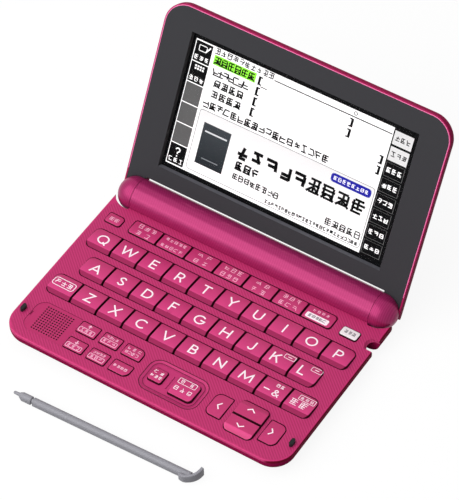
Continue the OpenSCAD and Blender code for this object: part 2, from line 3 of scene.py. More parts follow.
import bpy
import numpy as np
from mathutils import Matrix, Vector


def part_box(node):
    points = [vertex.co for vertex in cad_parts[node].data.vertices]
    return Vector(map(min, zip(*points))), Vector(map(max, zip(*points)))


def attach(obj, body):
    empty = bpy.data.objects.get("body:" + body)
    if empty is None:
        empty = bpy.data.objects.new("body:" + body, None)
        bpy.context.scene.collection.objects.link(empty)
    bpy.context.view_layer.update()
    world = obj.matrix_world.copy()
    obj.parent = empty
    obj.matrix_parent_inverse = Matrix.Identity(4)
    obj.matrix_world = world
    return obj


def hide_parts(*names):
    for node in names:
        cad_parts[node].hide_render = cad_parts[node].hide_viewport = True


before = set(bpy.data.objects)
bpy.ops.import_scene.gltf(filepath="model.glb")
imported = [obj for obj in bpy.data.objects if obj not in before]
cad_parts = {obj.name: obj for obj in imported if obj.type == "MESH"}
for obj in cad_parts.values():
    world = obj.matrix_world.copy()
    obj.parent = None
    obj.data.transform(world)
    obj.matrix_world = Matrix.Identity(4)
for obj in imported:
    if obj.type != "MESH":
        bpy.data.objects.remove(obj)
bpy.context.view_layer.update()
mm = 0.001


def boxMm(node):
    # lowest and highest corner of a CAD node in millimetres
    low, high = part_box(node)
    return np.array(low) / mm, np.array(high) / mm


deckTop = boxMm("base_top_cover")[1][2]
hingeY, hingeZ = ((boxMm("hinge_caps")[0] + boxMm("hinge_caps")[1]) / 2)[1:]
print("frame loaded, deck at", round(float(deckTop), 2), "mm")

# camera, stage and lights

camera = {
    # place in metres, and where the picture's right side, lower side and depth point
    "place": (0.48025, -0.70345, 1.0641),
    "right": (0.8422, 0.5390, -0.0129),
    "down": (0.4051, -0.6484, -0.6446),
    "forward": (-0.3558, 0.5376, -0.7644),
    "lens": 219.17,
    "sensor": 36,
    "clip": (0.05, 20),
}


def placed(axes, place):
    # an object's matrix: its own directions are the columns of axes
    return Matrix([[*axes[i], place[i]] for i in range(3)] + [[0, 0, 0, 1]])


def makeCamera(c):
    data = bpy.data.cameras.new("camera")
    data.lens = c["lens"]
    data.sensor_width = c["sensor"]
    data.clip_start, data.clip_end = c["clip"]
    cam = bpy.data.objects.new("camera", data)
    axes = np.array([c["right"], -np.array(c["down"]), -np.array(c["forward"])], float).T
    cam.matrix_world = placed(axes, c["place"])
    bpy.context.scene.collection.objects.link(cam)
    bpy.context.scene.camera = cam


makeCamera(camera)
bpy.context.scene.view_settings.view_transform = "Standard"


def linear(hexText):
    # an sRGB hex colour as linear red, green, blue and full alpha
    parts = np.array([int(hexText[i:i + 2], 16) for i in (1, 3, 5)]) / 255
    toLinear = np.where(parts <= 0.04045, parts / 12.92, ((parts + 0.055) / 1.055) ** 2.4)
    return (*[float(v) for v in toLinear], 1.0)


def addNode(tree, kind, settings=None, links=None):
    # one node: settings go to its properties or sockets, and a link to a socket comes from a node's
    # first output, or from (node, output)
    node = tree.nodes.new(kind)
    for key, value in (settings or {}).items():
        if isinstance(key, str) and hasattr(node, key):
            setattr(node, key, value)
        else:
            node.inputs[key].default_value = value
    for key, link in (links or {}).items():
        source, output = link if isinstance(link, tuple) else (link, 0)
        tree.links.new(source.outputs[output], node.inputs[key])
    return node


def newMaterial(name):
    material = bpy.data.materials.new(name)
    material.use_nodes = True
    material.node_tree.nodes.clear()
    return material, material.node_tree


studio = {
    "ambient": 0.30,         # strength of the white surroundings as light
    "floorGlow": 0.9,        # how white the floor shows to the camera and in glossy surfaces
    "floorGrey": "#5A5A5A",  # the floor's own colour, on which the shadow falls
    "floorReach": 3000.0,    # half the width of the floor
    "lamps": {
        # name: place, what it points at, size, watts, whether glossy surfaces mirror it
        "frontSoftbox": ((-0.405, -0.64, 0.865), (0, 0.044, 0.0), (1.9, 1.03), 13.2, True),
        "lowSoftbox": ((-0.5, -0.98, 0.39), (0, 0.044, 0.0), (1.9, 0.42), 3.9, True),
        "topSoftbox": ((-0.15, 0.35, 1.2), (0, 0, 0), (1.0, 1.0), 3.6, False),
    },
}


def seenBy(tree, first, *others):
    # 1 for the named kinds of ray, 0 for all others
    rays = addNode(tree, "ShaderNodeLightPath")
    seen = (rays, first)
    for kind in others:
        seen = addNode(tree, "ShaderNodeMath", {"operation": "MAXIMUM"}, {0: seen, 1: (rays, kind)})
    return seen


def makeSky(s):
    world = bpy.data.worlds.new("studio")
    bpy.context.scene.world = world
    world.use_nodes = True
    tree = world.node_tree
    tree.nodes.clear()
    seen = seenBy(tree, "Is Camera Ray", "Is Glossy Ray", "Is Transmission Ray")
    strength = addNode(tree, "ShaderNodeMapRange", {"To Min": s["ambient"], "To Max": 1.0}, {"Value": seen})
    sky = addNode(tree, "ShaderNodeBackground", {"Color": (1, 1, 1, 1)}, {"Strength": strength})
    addNode(tree, "ShaderNodeOutputWorld", {}, {"Surface": sky})


def makeFloor(s):
    corners = s["floorReach"] * np.array([[-1, -1, 0], [1, -1, 0], [1, 1, 0], [-1, 1, 0]])
    floor = meshObject("floor", corners, [(0, 1, 2, 3)])
    material, tree = newMaterial("white paper sweep")
    seen = seenBy(tree, "Is Camera Ray", "Is Glossy Ray")
    seen = addNode(tree, "ShaderNodeMath", {"operation": "MULTIPLY", 1: s["floorGlow"]}, {0: seen})
    glow = addNode(tree, "ShaderNodeEmission", {"Color": (1, 1, 1, 1)}, {"Strength": seen})
    paper = addNode(tree, "ShaderNodeBsdfDiffuse", {"Color": linear(s["floorGrey"])})
    both = addNode(tree, "ShaderNodeAddShader", {}, {0: glow, 1: paper})
    addNode(tree, "ShaderNodeOutputMaterial", {}, {"Surface": both})
    floor.data.materials.append(material)


def makeLamps(s):
    for name, (place, aim, size, watts, mirrored) in s["lamps"].items():
        data = bpy.data.lights.new(name, "AREA")
        data.shape = "RECTANGLE"
        data.size, data.size_y = size
        data.energy = watts
        lamp = bpy.data.objects.new(name, data)
        lamp.visible_glossy = mirrored
        back = np.array(place, float) - np.array(aim, float)
        back /= np.linalg.norm(back)
        side = np.cross((0, 0, 1), back)
        side /= np.linalg.norm(side)
        lamp.matrix_world = placed(np.array([side, np.cross(back, side), back]).T, place)
        bpy.context.scene.collection.objects.link(lamp)


# mesh helpers


def meshObject(name, verts, faces, sharp=40.0):
    # a mesh from points in millimetres; edges sharper than the given angle stay hard
    mesh = bpy.data.meshes.new(name)
    mesh.from_pydata((np.asarray(verts, float) * mm).tolist(), [], faces)
    mesh.validate()
    mesh.shade_smooth()
    mesh.set_sharp_from_angle(angle=math.radians(sharp))
    obj = bpy.data.objects.new(name, mesh)
    bpy.context.scene.collection.objects.link(obj)
    return obj


def gridFaces(rows, cols, wrap=False):
    # quads of a grid of rows by cols points, the last column joined to the first where it wraps
    r = np.arange(rows - 1)[:, None]
    c = np.arange(cols if wrap else cols - 1)[None, :]
    a = r * cols + c
    b = r * cols + (c + 1) % cols
    return np.stack([a, b, b + cols, a + cols], axis=-1).reshape(-1, 4)


def joinParts(parts):
    # several (points, faces, material numbers) as one, each part's faces numbered on;
    # without material numbers a part takes the first material
    verts, faces, finish, start = [], [], [], 0
    for points, partFaces, *partFinish in parts:
        verts.append(points)
        faces += [[i + start for i in face] for face in partFaces]
        finish.append(partFinish[0] if partFinish else np.zeros(len(partFaces)))
        start += len(points)
    return np.concatenate(verts), faces, np.concatenate(finish)


def addPiece(obj, body, slot, *materials, replaces=None):
    for material in materials:
        obj.data.materials.append(material)
    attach(obj, body)
    if replaces:
        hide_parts(replaces)
    return obj


makeSky(studio)
makeFloor(studio)
makeLamps(studio)
print("camera, stage and lamps ready")

# how the lid stands

lidOpen = 117.17             # degrees between deck and screen
lidTurn = math.radians(180 - lidOpen)
lidUp = np.array([0, math.cos(lidTurn), math.sin(lidTurn)])     # up the lid from the hinge
lidOut = np.array([0, -math.sin(lidTurn), math.cos(lidTurn)])   # out of the screen

# materials


def fineLines(tree, point, direction, period, sharpness=0.5):
    # stripes across a direction, one every period millimetres: 0 in the valleys, 1 on the crests
    d = np.array(direction, float)
    d *= 2 * math.pi / (period * mm * np.linalg.norm(d))
    along = addNode(tree, "ShaderNodeVectorMath", {"operation": "DOT_PRODUCT", 1: tuple(d)},
                    {0: (point, "Object")})
    wave = addNode(tree, "ShaderNodeMath", {"operation": "SINE"}, {0: (along, "Value")})
    ends = {"From Min": -sharpness, "From Max": sharpness}
    return addNode(tree, "ShaderNodeMapRange", {"interpolation_type": "SMOOTHSTEP"} | ends, {"Value": wave})


def runUp(tree, vector, direction, start, full):
    # 0 to 1 as the vector's reach along a direction goes from start to full
    towards = {"operation": "DOT_PRODUCT", 1: tuple(direction)}
    reach = addNode(tree, "ShaderNodeVectorMath", towards, {0: vector})
    ends = {"From Min": start, "From Max": full}
    return addNode(tree, "ShaderNodeMapRange", ends, {"Value": (reach, "Value")})


def layered(tree, factor, tones, layers=()):
    # a colour between two tones, then run towards each layer's tone by its share
    colour = addNode(tree, "ShaderNodeMix", {"data_type": "RGBA", 6: linear(tones[0]), 7: linear(tones[1])},
                     {0: factor})
    for share, tone in layers:
        colour = addNode(tree, "ShaderNodeMix", {"data_type": "RGBA", 7: linear(tone)},
                         {0: share, 6: (colour, 2)})
    return colour, 2


def outlineDistance(tree, point, low, high, radius):
    # metres from an outline in plan, less than zero inside it, for a rectangle with round corners
    middle, half = (np.array(low) + high) / 2, (np.array(high) - low) / 2
    away = addNode(tree, "ShaderNodeVectorMath", {"operation": "SUBTRACT", 1: (*(middle[:2] * mm), 0)},
                   {0: (point, "Object")})
    away = addNode(tree, "ShaderNodeVectorMath", {"operation": "ABSOLUTE"}, {0: away})
    core = (*((half[:2] - radius) * mm), 1.0)    # the high third number takes the height out of play
    away = addNode(tree, "ShaderNodeVectorMath", {"operation": "SUBTRACT", 1: core}, {0: away})
    away = addNode(tree, "ShaderNodeVectorMath", {"operation": "MAXIMUM", 1: (0, 0, 0)}, {0: away})
    far = addNode(tree, "ShaderNodeVectorMath", {"operation": "LENGTH"}, {0: away})
    return addNode(tree, "ShaderNodeMath", {"operation": "SUBTRACT", 1: radius * mm}, {0: (far, "Value")})


def finishMaterial(tree, shader, bumps=()):
    # bumps: (source node, height in millimetres), chained one on another
    last = None
    for source, height in bumps:
        links = {"Height": source} | ({"Normal": last} if last else {})
        last = addNode(tree, "ShaderNodeBump", {"Strength": 1.0, "Distance": height * mm}, links)
    if last:
        tree.links.new(last.outputs[0], shader.inputs["Normal"])
    addNode(tree, "ShaderNodeOutputMaterial", {}, {"Surface": shader})


# the island of the return and enter keys
island = {"left": -5.45, "right": 24.95, "front": hingeY - 92.0, "back": hingeY - 74.1, "radius": 5.5}
coverTones = {
    "wallShade": "#4A0C24",          # painted shade on the upright walls of the key openings
    "steep": (0.55, 0.25),       # upward share of the normal where a wall starts, and is full
    "scoop": (66.0, 20.0),       # right of and behind this place lies the finger scoop, whose walls get no painted shade
    "cornerRadius": 11.0,
    "rolledEdgeHighlight": "#BE2468",         # painted highlight on the rolled edge all round
    "rolledEdgeHighlightFrom": (-1.3, -0.7),  # millimetres from the outline where it starts, and is full
    "lip": "#6A0C26",            # outermost edge at the right, which lies in shade
    "lipFrom": (-0.5, -0.3),
    "lipFacing": (0.1, 0.3),     # rightward share of the normal where it starts, and is full
    "lipShine": 0.02,
    "scoopFade": 0.5,
    "islandFade": 0.1,
}
rimTone = {"tone": "#AC2058", "level": -1.5, "from": (-0.5, -0.2)}   # the lid's edge round the screen frame
flakeSize = 0.35                 # pearl flakes, drawn larger than the real 0.05 mm so that they show


def plainIsland(tree, point, stripes):
    # the moulded lines stop at the island, which is one even crest
    low, high = (island["left"], island["front"]), (island["right"], island["back"])
    out = outlineDistance(tree, point, low, high, island["radius"])
    fade = coverTones["islandFade"] * mm
    plain = addNode(tree, "ShaderNodeMapRange", {"From Min": fade, "From Max": -fade}, {"Value": out})
    return addNode(tree, "ShaderNodeMix", {"data_type": "FLOAT", 3: 1.0}, {0: plain, 2: stripes})


def coverLayers(tree, point, shine):
    # painted shade on the upright walls and the outermost edge at the right, and a painted highlight on the
    # rolled edge, which only the keyboard cover has; and its gloss, which fades on the outermost edge
    c = coverTones
    # painted shade on the upright walls, left out in the finger scoop
    wallShade = runUp(tree, (point, "Normal"), (0, 0, 1), *c["steep"])
    outside = [runUp(tree, (point, "Object"), axis, (place + c["scoopFade"]) * mm, place * mm)
               for axis, place in zip(((1, 0, 0), (0, 1, 0)), c["scoop"])]
    outside = addNode(tree, "ShaderNodeMath", {"operation": "MAXIMUM"}, {0: outside[0], 1: outside[1]})
    wallShade = addNode(tree, "ShaderNodeMath", {"operation": "MULTIPLY"}, {0: wallShade, 1: outside})
    out = outlineDistance(tree, point, *boxMm("base_top_cover"), c["cornerRadius"])
    # painted highlight on the rolled edge, and painted shade on the outermost edge at the right
    rolledEdgeHighlight, outermost = [
        addNode(tree, "ShaderNodeMapRange", {"From Min": start * mm, "From Max": full * mm}, {"Value": out})
        for start, full in (c["rolledEdgeHighlightFrom"], c["lipFrom"])]
    right = runUp(tree, (point, "Normal"), (1, 0, 0), *c["lipFacing"])
    lip = addNode(tree, "ShaderNodeMath", {"operation": "MULTIPLY"}, {0: outermost, 1: right})
    gloss = addNode(tree, "ShaderNodeMapRange", {"To Min": shine, "To Max": c["lipShine"]}, {"Value": lip})
    return [(wallShade, c["wallShade"]), (rolledEdgeHighlight, c["rolledEdgeHighlight"]), (lip, c["lip"])], gloss


def rimLayers(tree, point):
    # the lid shell's edge, told from its back by the height out of the screen
    level = float(lidOut @ (0, hingeY, hingeZ)) + rimTone["level"]
    start, full = [(level + step) * mm for step in rimTone["from"]]
    return [(runUp(tree, (point, "Object"), lidOut, start, full), rimTone["tone"])]


def lacquer(name, tones, lines, metallic, roughness, shine, lineHeight=0.0, grainHeight=0.0015, part=None):
    # pearl lacquer over moulded ABS: fine moulded lines show through the colour, flakes vary it;
    # lines: the direction across them and their period; part: cover, which adds painted shade and a painted
    # highlight, or lid, which adds a lighter edge tone
    material, tree = newMaterial(name)
    point = addNode(tree, "ShaderNodeTexCoord")
    stripes = fineLines(tree, point, *lines)
    layers, gloss = [], {}
    if part == "cover":
        stripes = plainIsland(tree, point, stripes)
        layers, fading = coverLayers(tree, point, shine)
        gloss = {"Specular IOR Level": fading}
    if part == "lid":
        layers = rimLayers(tree, point)
    flakes = addNode(tree, "ShaderNodeTexNoise", {"Scale": 1 / (flakeSize * mm)},
                     {"Vector": (point, "Object")})
    # the flakes count half as much as the lines
    mixed = addNode(tree, "ShaderNodeMath", {"operation": "MULTIPLY_ADD", 1: 0.5}, {0: flakes, 2: stripes})
    factor = addNode(tree, "ShaderNodeMapRange", {"From Min": 0.1, "From Max": 1.4}, {"Value": mixed})
    look = {"Metallic": metallic, "Roughness": roughness, "Specular IOR Level": shine}
    shader = addNode(tree, "ShaderNodeBsdfPrincipled", look,
                     {"Base Color": layered(tree, factor, tones, layers)} | gloss)
    finishMaterial(tree, shader, [(stripes, lineHeight), (flakes, grainHeight)])
    return material


def plastic(name, tones, grain, roughness, metallic=0.0, shine=0.5, highlightByHeight=None):
    # moulded plastic, paint or rubber: an even colour with a fine grain in colour and relief;
    # grain: size of its spots and height of its relief; roughness varies by 0.05 with the spots;
    # highlightByHeight: a painted highlight, a lighter tone that the colour runs to between two heights above
    # the keyboard face
    material, tree = newMaterial(name)
    point = addNode(tree, "ShaderNodeTexCoord")
    spots = addNode(tree, "ShaderNodeTexNoise", {"Scale": 1 / (grain[0] * mm)}, {"Vector": (point, "Object")})
    layers = []
    if highlightByHeight:
        tone, start, full = highlightByHeight
        up = (0, 0, 1)
        # painted highlight: the colour grows lighter with height above the keyboard face
        climb = runUp(tree, (point, "Object"), up, (deckTop + start) * mm, (deckTop + full) * mm)
        layers = [(climb, tone)]
    rough = addNode(tree, "ShaderNodeMapRange", {"To Min": roughness - 0.05, "To Max": roughness + 0.05},
                    {"Value": spots})
    shader = addNode(tree, "ShaderNodeBsdfPrincipled", {"Metallic": metallic, "Specular IOR Level": shine},
                     {"Base Color": layered(tree, spots, tones, layers), "Roughness": rough})
    finishMaterial(tree, shader, [(spots, grain[1])])
    return material


speakerHoles = {
    "pitch": 1.35,
    "shift": 0.65,               # the field's middle lies this far right of the cover's
    "reach": 5,                  # holes on each side of the middle one
    "shade": (0.36, 0.27),       # shares of the pitch from a hole's middle where shade starts, and is full
}


def grilleMaterial(name, tones, shade):
    # the speaker cover's lacquer, with painted shade gathered in the mouth of each hole and on its upright
    # walls
    material, tree = newMaterial(name)
    point = addNode(tree, "ShaderNodeTexCoord")
    h = speakerHoles
    middle = sum(boxMm("speaker_grille")) / 2 + (h["shift"], 0, 0)
    toCells = {"operation": "MULTIPLY_ADD", 1: (1 / (h["pitch"] * mm),) * 2 + (0,),
               2: (-middle[0] / h["pitch"], -middle[1] / h["pitch"], 0)}
    cell = addNode(tree, "ShaderNodeVectorMath", toCells, {0: (point, "Object")})
    near = addNode(tree, "ShaderNodeVectorMath", {"operation": "ADD", 1: (0.5, 0.5, 0)}, {0: cell})
    near = addNode(tree, "ShaderNodeVectorMath", {"operation": "FLOOR"}, {0: near})
    for limit, reach in (("MAXIMUM", -h["reach"]), ("MINIMUM", h["reach"])):
        near = addNode(tree, "ShaderNodeVectorMath", {"operation": limit, 1: (reach, reach, 0)}, {0: near})
    away = addNode(tree, "ShaderNodeVectorMath", {"operation": "DISTANCE"}, {0: cell, 1: near})
    ends = dict(zip(("From Min", "From Max"), h["shade"]))
    mouth = addNode(tree, "ShaderNodeMapRange", ends, {"Value": (away, "Value")})
    # painted shade on the upright walls, as on the keyboard cover
    wallShade = runUp(tree, (point, "Normal"), (0, 0, 1), *coverTones["steep"])
    spots = addNode(tree, "ShaderNodeTexNoise", {"Scale": 1 / (flakeSize * mm)},
                    {"Vector": (point, "Object")})
    colour = layered(tree, spots, tones, [(mouth, shade), (wallShade, shade)])
    shader = addNode(tree, "ShaderNodeBsdfPrincipled", {"Roughness": 0.45, "Specular IOR Level": 0.4},
                     {"Base Color": colour})
    finishMaterial(tree, shader, [(spots, 0.003)])
    return material


def frameMaterial(name, tones, light, dark):
    # the screen frame's paint, with a painted highlight on the window's lower and right bevel and painted
    # shade on the two others
    material, tree = newMaterial(name)
    point = addNode(tree, "ShaderNodeTexCoord")
    spots = addNode(tree, "ShaderNodeTexNoise", {"Scale": 1 / (0.25 * mm)}, {"Vector": (point, "Object")})
    side = 0.7 * (lidUp - np.array([1.0, 0, 0]))     # lies between up the lid and to the left
    layers = [(runUp(tree, (point, "Normal"), way, 0.35, 0.6), tone)
              for way, tone in ((side, light), (-side, dark))]
    shader = addNode(tree, "ShaderNodeBsdfPrincipled", {"Roughness": 0.6, "Specular IOR Level": 0.35},
                     {"Base Color": layered(tree, spots, tones, layers)})
    finishMaterial(tree, shader, [(spots, 0.006)])
    return material


# direction across the lines and their period in millimetres. The real lines are nearer 0.5 mm apart
# and drawn coarser so that they show; evenTone runs between two tones too close to be told apart
deckLines = ((1, 1.15, 0), 1.15)
barrelLines = ((1, 0.4, -0.4), 1.0)
capLines = ((1, 0, 0), 0.9)
evenTone = ((1, 1.15, 0), 1.2)

# moulded ABS with pearl lacquer: a satin pink that carries the deck's slanting line pattern
deckPink = lacquer("pearl lacquered ABS, lined", ("#A61F57", "#BE2C6D"), deckLines, metallic=0.15,
                   roughness=0.5, shine=0.4, lineHeight=0.02, grainHeight=0.006, part="cover")
# the speaker cover carries the same lacquer without the lines, and its holes read as dark dots of painted
# shade
grillePink = grilleMaterial("pearl lacquered ABS, speaker cover", ("#AA1D5A", "#B62463"), "#4A0A22")
# the same lacquer polished on the barrel, where it mirrors the softboxes as one long highlight
barrelPink = lacquer("pearl lacquered ABS, polished barrel", ("#981F59", "#A22662"), barrelLines,
                     metallic=0.3, roughness=0.22, shine=0.27)
# end caps: turned lines in the colour run round the dome
capPink = lacquer("pearl lacquered ABS, end caps", ("#921C55", "#A42662"), capLines, metallic=0.35,
                  roughness=0.32, shine=0.25)
# back of the lid: lacquer of a deeper wine tone that hardly shines, with a lighter edge round the frame
lidWine = lacquer("pearl lacquered ABS, lid shell", ("#901245", "#931447"), evenTone, metallic=0.0,
                  roughness=0.5, shine=0.03, part="lid")
# painted highlight: a light line along the edge between the lid shell and the screen frame
lidEdgeHighlight = plastic("pearl lacquered ABS, painted highlight line", ("#E86AA2", "#EE76AC"), (0.6, 0.001),
                   roughness=0.3, metallic=0.2)
# lower shell: the same wine tone with almost no shine, so that its rolled sides stay dark
shellWine = lacquer("moulded ABS, lower shell, wine", ("#961148", "#9A134A"), evenTone, metallic=0.0,
                    roughness=0.6, shine=0.01)
# key tops: pink paint under UV clear coat, a silky sheen and a slight metallic flop, lighter towards the
# ridge as a painted highlight
keyPink = plastic("painted ABS key tops, silk clear coat", ("#B01E5C", "#BA2466"), (0.4, 0.003),
                  roughness=0.4, metallic=0.15, highlightByHeight=("#D2347B", 0.2, 1.3))
# front faces of the keys: the same paint made darker as painted shade
keyFrontShade = plastic("painted ABS key fronts, painted shade", ("#8C194A", "#981F54"), (0.4, 0.003), roughness=0.6, shine=0.15)
# arrow keys up and down: the same paint as the key tops, one even tone over their whole height
keyEven = plastic("painted ABS arrow keys, silk clear coat", ("#B4215F", "#BE2769"), (0.4, 0.003),
                  roughness=0.4, metallic=0.15)
# sides of the keys down in their openings: painted shade, dark maroon, which makes the narrow gaps dark lines
keySideShade = plastic("painted shade on key sides, dark maroon", ("#2E0614", "#380A1A"), (0.4, 0.003), roughness=0.7,
                  shine=0.1)
# white ABS, moulded in its colour: a plain even white with a soft sheen
keyWhite = plastic("moulded white ABS", ("#E8DEE2", "#F0E8EB"), (0.5, 0.003), roughness=0.4)
# screen frame: dark grey soft-feel paint, almost no shine, with painted highlight and shade on the window's
# bevels
frameGrey = frameMaterial("soft-feel painted polycarbonate, graphite", ("#1A1A1F", "#202025"),
                          light="#48484E", dark="#08080A")
# painted shade in the grooves round the island: a dull dark line
grooveShade = plastic("painted shade in a groove", ("#50102A", "#5A142E"), (0.4, 0.001), roughness=0.6,
                     shine=0.2)
# black thermoplastic rubber: a matt, slightly pitted black
rubberBlack = plastic("thermoplastic rubber, black", ("#0E0E10", "#161619"), (0.3, 0.02), roughness=0.7,
                      shine=0.3)
# grey ABS with satin mould texture: a soft light band along the shaft
stylusGrey = plastic("satin moulded ABS, grey", ("#85848B", "#908F96"), (0.25, 0.006), roughness=0.5)
# black ABS of the inner parts: a dull black with a faint texture
blackPlastic = plastic("moulded ABS, black", ("#19191B", "#232326"), (0.4, 0.008), roughness=0.5)
# nickel plated steel: bright and smooth
steel = plastic("nickel plated steel", ("#B9B8B4", "#C8C7C3"), (0.6, 0.002), roughness=0.25, metallic=1.0)
# circuit board: green film over the weave of the glass
boardGreen = plastic("solder resist on glass epoxy", ("#1F5A38", "#27683F"), (0.8, 0.004), roughness=0.4)
# coated sheet steel: a plain smooth black
plateBlack = plastic("black coated sheet steel", ("#141416", "#1B1B1E"), (0.9, 0.004), roughness=0.5)
# shrink film on the cells: a warm pale gloss
cellWrap = plastic("shrink film on battery cells", ("#C9C2AC", "#D6D0BC"), (1.2, 0.003), roughness=0.3)
# printed inks: white on the letter keys; on the small keys a thin one that lets the pink through;
# grey on the white keys
whitePrint = plastic("screen printed white ink", ("#FFE9F4", "#FFF4FA"), (0.2, 0.001), roughness=0.5)
palePrint = plastic("screen printed thin ink", ("#F2B4CE", "#F6BED6"), (0.2, 0.001), roughness=0.5)
greyPrint = plastic("screen printed grey ink", ("#6E6A6E", "#7A767A"), (0.2, 0.001), roughness=0.5)


def clearPanel():
    # hard coated PET film and glass: almost nothing but a thin reflection
    material, tree = newMaterial("hard coated touch panel, clear")
    point = addNode(tree, "ShaderNodeTexCoord")
    haze = addNode(tree, "ShaderNodeTexNoise", {"Scale": 1 / (4.0 * mm)}, {"Vector": (point, "Object")})
    alpha = addNode(tree, "ShaderNodeMapRange", {"To Min": 0.01, "To Max": 0.02}, {"Value": haze})
    shader = addNode(tree, "ShaderNodeBsdfPrincipled", {"Base Color": linear("#30363A"), "Roughness": 0.12},
                     {"Alpha": alpha})
    finishMaterial(tree, shader)
    return material


displayLook = {
    "rowPitch": 0.4,         # pixel rows, drawn coarser than the real 0.2 mm
    "rowSharpness": 0.9,
    "rowDimming": 0.97,      # brightness between the rows
    "glow": 0.3,             # strength of the backlight
}


def displayMaterial():
    # lit TFT display: the colour of each field comes from its own attribute, faint pixel rows over it
    d = displayLook
    material, tree = newMaterial("backlit display")
    point = addNode(tree, "ShaderNodeTexCoord")
    shown = addNode(tree, "ShaderNodeAttribute", {"attribute_name": "picture"})
    rows = fineLines(tree, point, lidUp, d["rowPitch"], d["rowSharpness"])
    dim = addNode(tree, "ShaderNodeMapRange", {"To Min": d["rowDimming"], "To Max": 1.0}, {"Value": rows})
    colour = addNode(tree, "ShaderNodeVectorMath", {"operation": "SCALE"},
                     {0: (shown, "Color"), "Scale": dim})
    look = {"Roughness": 0.5, "Emission Strength": d["glow"], "Specular IOR Level": 0.05}
    shader = addNode(tree, "ShaderNodeBsdfPrincipled", look,
                     {"Base Color": colour, "Emission Color": colour})
    finishMaterial(tree, shader)
    return material


display = displayMaterial()
touchClear = clearPanel()

nodeFinish = {
    deckPink: ["base_top_cover"],
    grillePink: ["speaker_grille"],
    barrelPink: ["barrel_housing"],
    capPink: ["hinge_caps"],
    shellWine: ["base_bottom_cover", "battery_cover"],
    lidWine: ["lid_back_cover"],
    frameGrey: ["lid_bezel"],
    touchClear: ["touch_panel"],
    blackPlastic: ["lcd_module", "speaker", "stylus_silo"],
    rubberBlack: ["rubber_feet", "lid_bumpers"],
    stylusGrey: ["stylus"],
    steel: ["battery_contacts", "base_screws", "hinge_pins"],
    boardGreen: ["main_board"],
    plateBlack: ["key_plate"],
    cellWrap: ["battery_cells"],
    keyWhite: ["home_key"],
}


def dressNodes():
    dressed = {name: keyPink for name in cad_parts}
    for material, names in nodeFinish.items():
        dressed.update({name: material for name in names})
    for name, material in dressed.items():
        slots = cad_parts[name].data.materials
        slots.clear()
        slots.append(material)


dressNodes()
print("materials ready and put on the CAD nodes")

# stylus

stylus = {
    "place": (43.9, -72.1, 1.8),       # right end of the hook, and the middle of the shaft over the table
    "turn": 1.9,
    "radius": 1.8,
    "squareness": 7.0,                 # the underside is nearly flat, with square edges
    "collar": (84.2, 85.1),            # the groove behind the collar, from the right end
    "neck": 1.15,
    "cone": (89.9, 91.3),
    "nib": (1.2, 0.85, 0.72),          # radius of the cone's end, and of the nib behind and in front
    "nibRound": 0.7,
    "start": 3.6,                      # the shaft starts inside the hook
    "end": 94.6,
    "edge": (0.12, 0.15),              # bevel at the groove: length and drop
    "wall": 1.6,                       # thickness of the hook
    "hookHeights": (3.7, 5.3),
    "hookEnds": (0.55, 0.95),          # share of the thickness at the hook's two ends
    "hookRise": (6, 8),                # how fast it grows to the full thickness from each end
    "hookRoundness": (0.4, 0.3),       # powers of the rounded rectangle, across and upwards
    "hookPath": ((-8.3, -2.1), (-7.2, -2.55), (-5.6, -2.66), (-4.1, -2.0), (-2.5, -0.8), (-1.35, 0.75),
                 (-0.68, 2.4), (-0.35, 4.4)),
}


def toTable(points):
    # from the stylus's own directions to its place on the table
    turn = math.radians(stylus["turn"])
    c, s = math.cos(turn), math.sin(turn)
    x, y, z = np.moveaxis(np.asarray(points, float), -1, 0)
    return np.stack([x * c - y * s, x * s + y * c, z], axis=-1) + (*stylus["place"][:2], 0)


def closedTube(rings):
    # rings of points joined by quads, the first and the last ring closed by a face each
    count, around = rings.shape[:2]
    faces = gridFaces(count, around, wrap=True).tolist()
    faces += [list(range(around))[::-1], list(range((count - 1) * around, count * around))]
    return rings.reshape(-1, 3), faces


def shaftRings(around=48):
    # stations along the shaft; each ring is a half circle above and a superellipse below its middle
    r, neck, start, nibRound = stylus["radius"], stylus["neck"], stylus["start"], stylus["nibRound"]
    (grooveStart, grooveEnd), (coneStart, coneEnd) = stylus["collar"], stylus["cone"]
    (bevel, drop), (coneTip, nibBack, nibFront) = stylus["edge"], stylus["nib"]
    nibStart = stylus["end"] - nibRound
    stations = [(start, r - 0.3), (start + 0.1, r),
                (grooveStart - bevel, r), (grooveStart, r - drop), (grooveStart, neck),
                (grooveEnd, neck), (grooveEnd, r - drop), (grooveEnd + bevel, r),
                (coneStart, r), (coneEnd, coneTip), (coneEnd, nibBack), (nibStart, nibFront)]
    stations += [(nibStart + nibRound * math.sin(a), nibFront * math.cos(a)) for a in (0.5, 0.9, 1.2, 1.45)]
    s, radius = np.array(stations).T[:, :, None]
    flat = np.where(s <= coneStart, stylus["squareness"], 2.0)
    a = np.linspace(0, 2 * math.pi, around, endpoint=False)[None, :]
    power = np.where(np.sin(a) < 0, 2 / flat, 1.0)
    across = radius * np.sign(np.cos(a)) * np.abs(np.cos(a)) ** power
    level = stylus["place"][2] + radius * np.sign(np.sin(a)) * np.abs(np.sin(a)) ** power
    return np.stack([-s + 0 * across, -across, level], axis=-1)


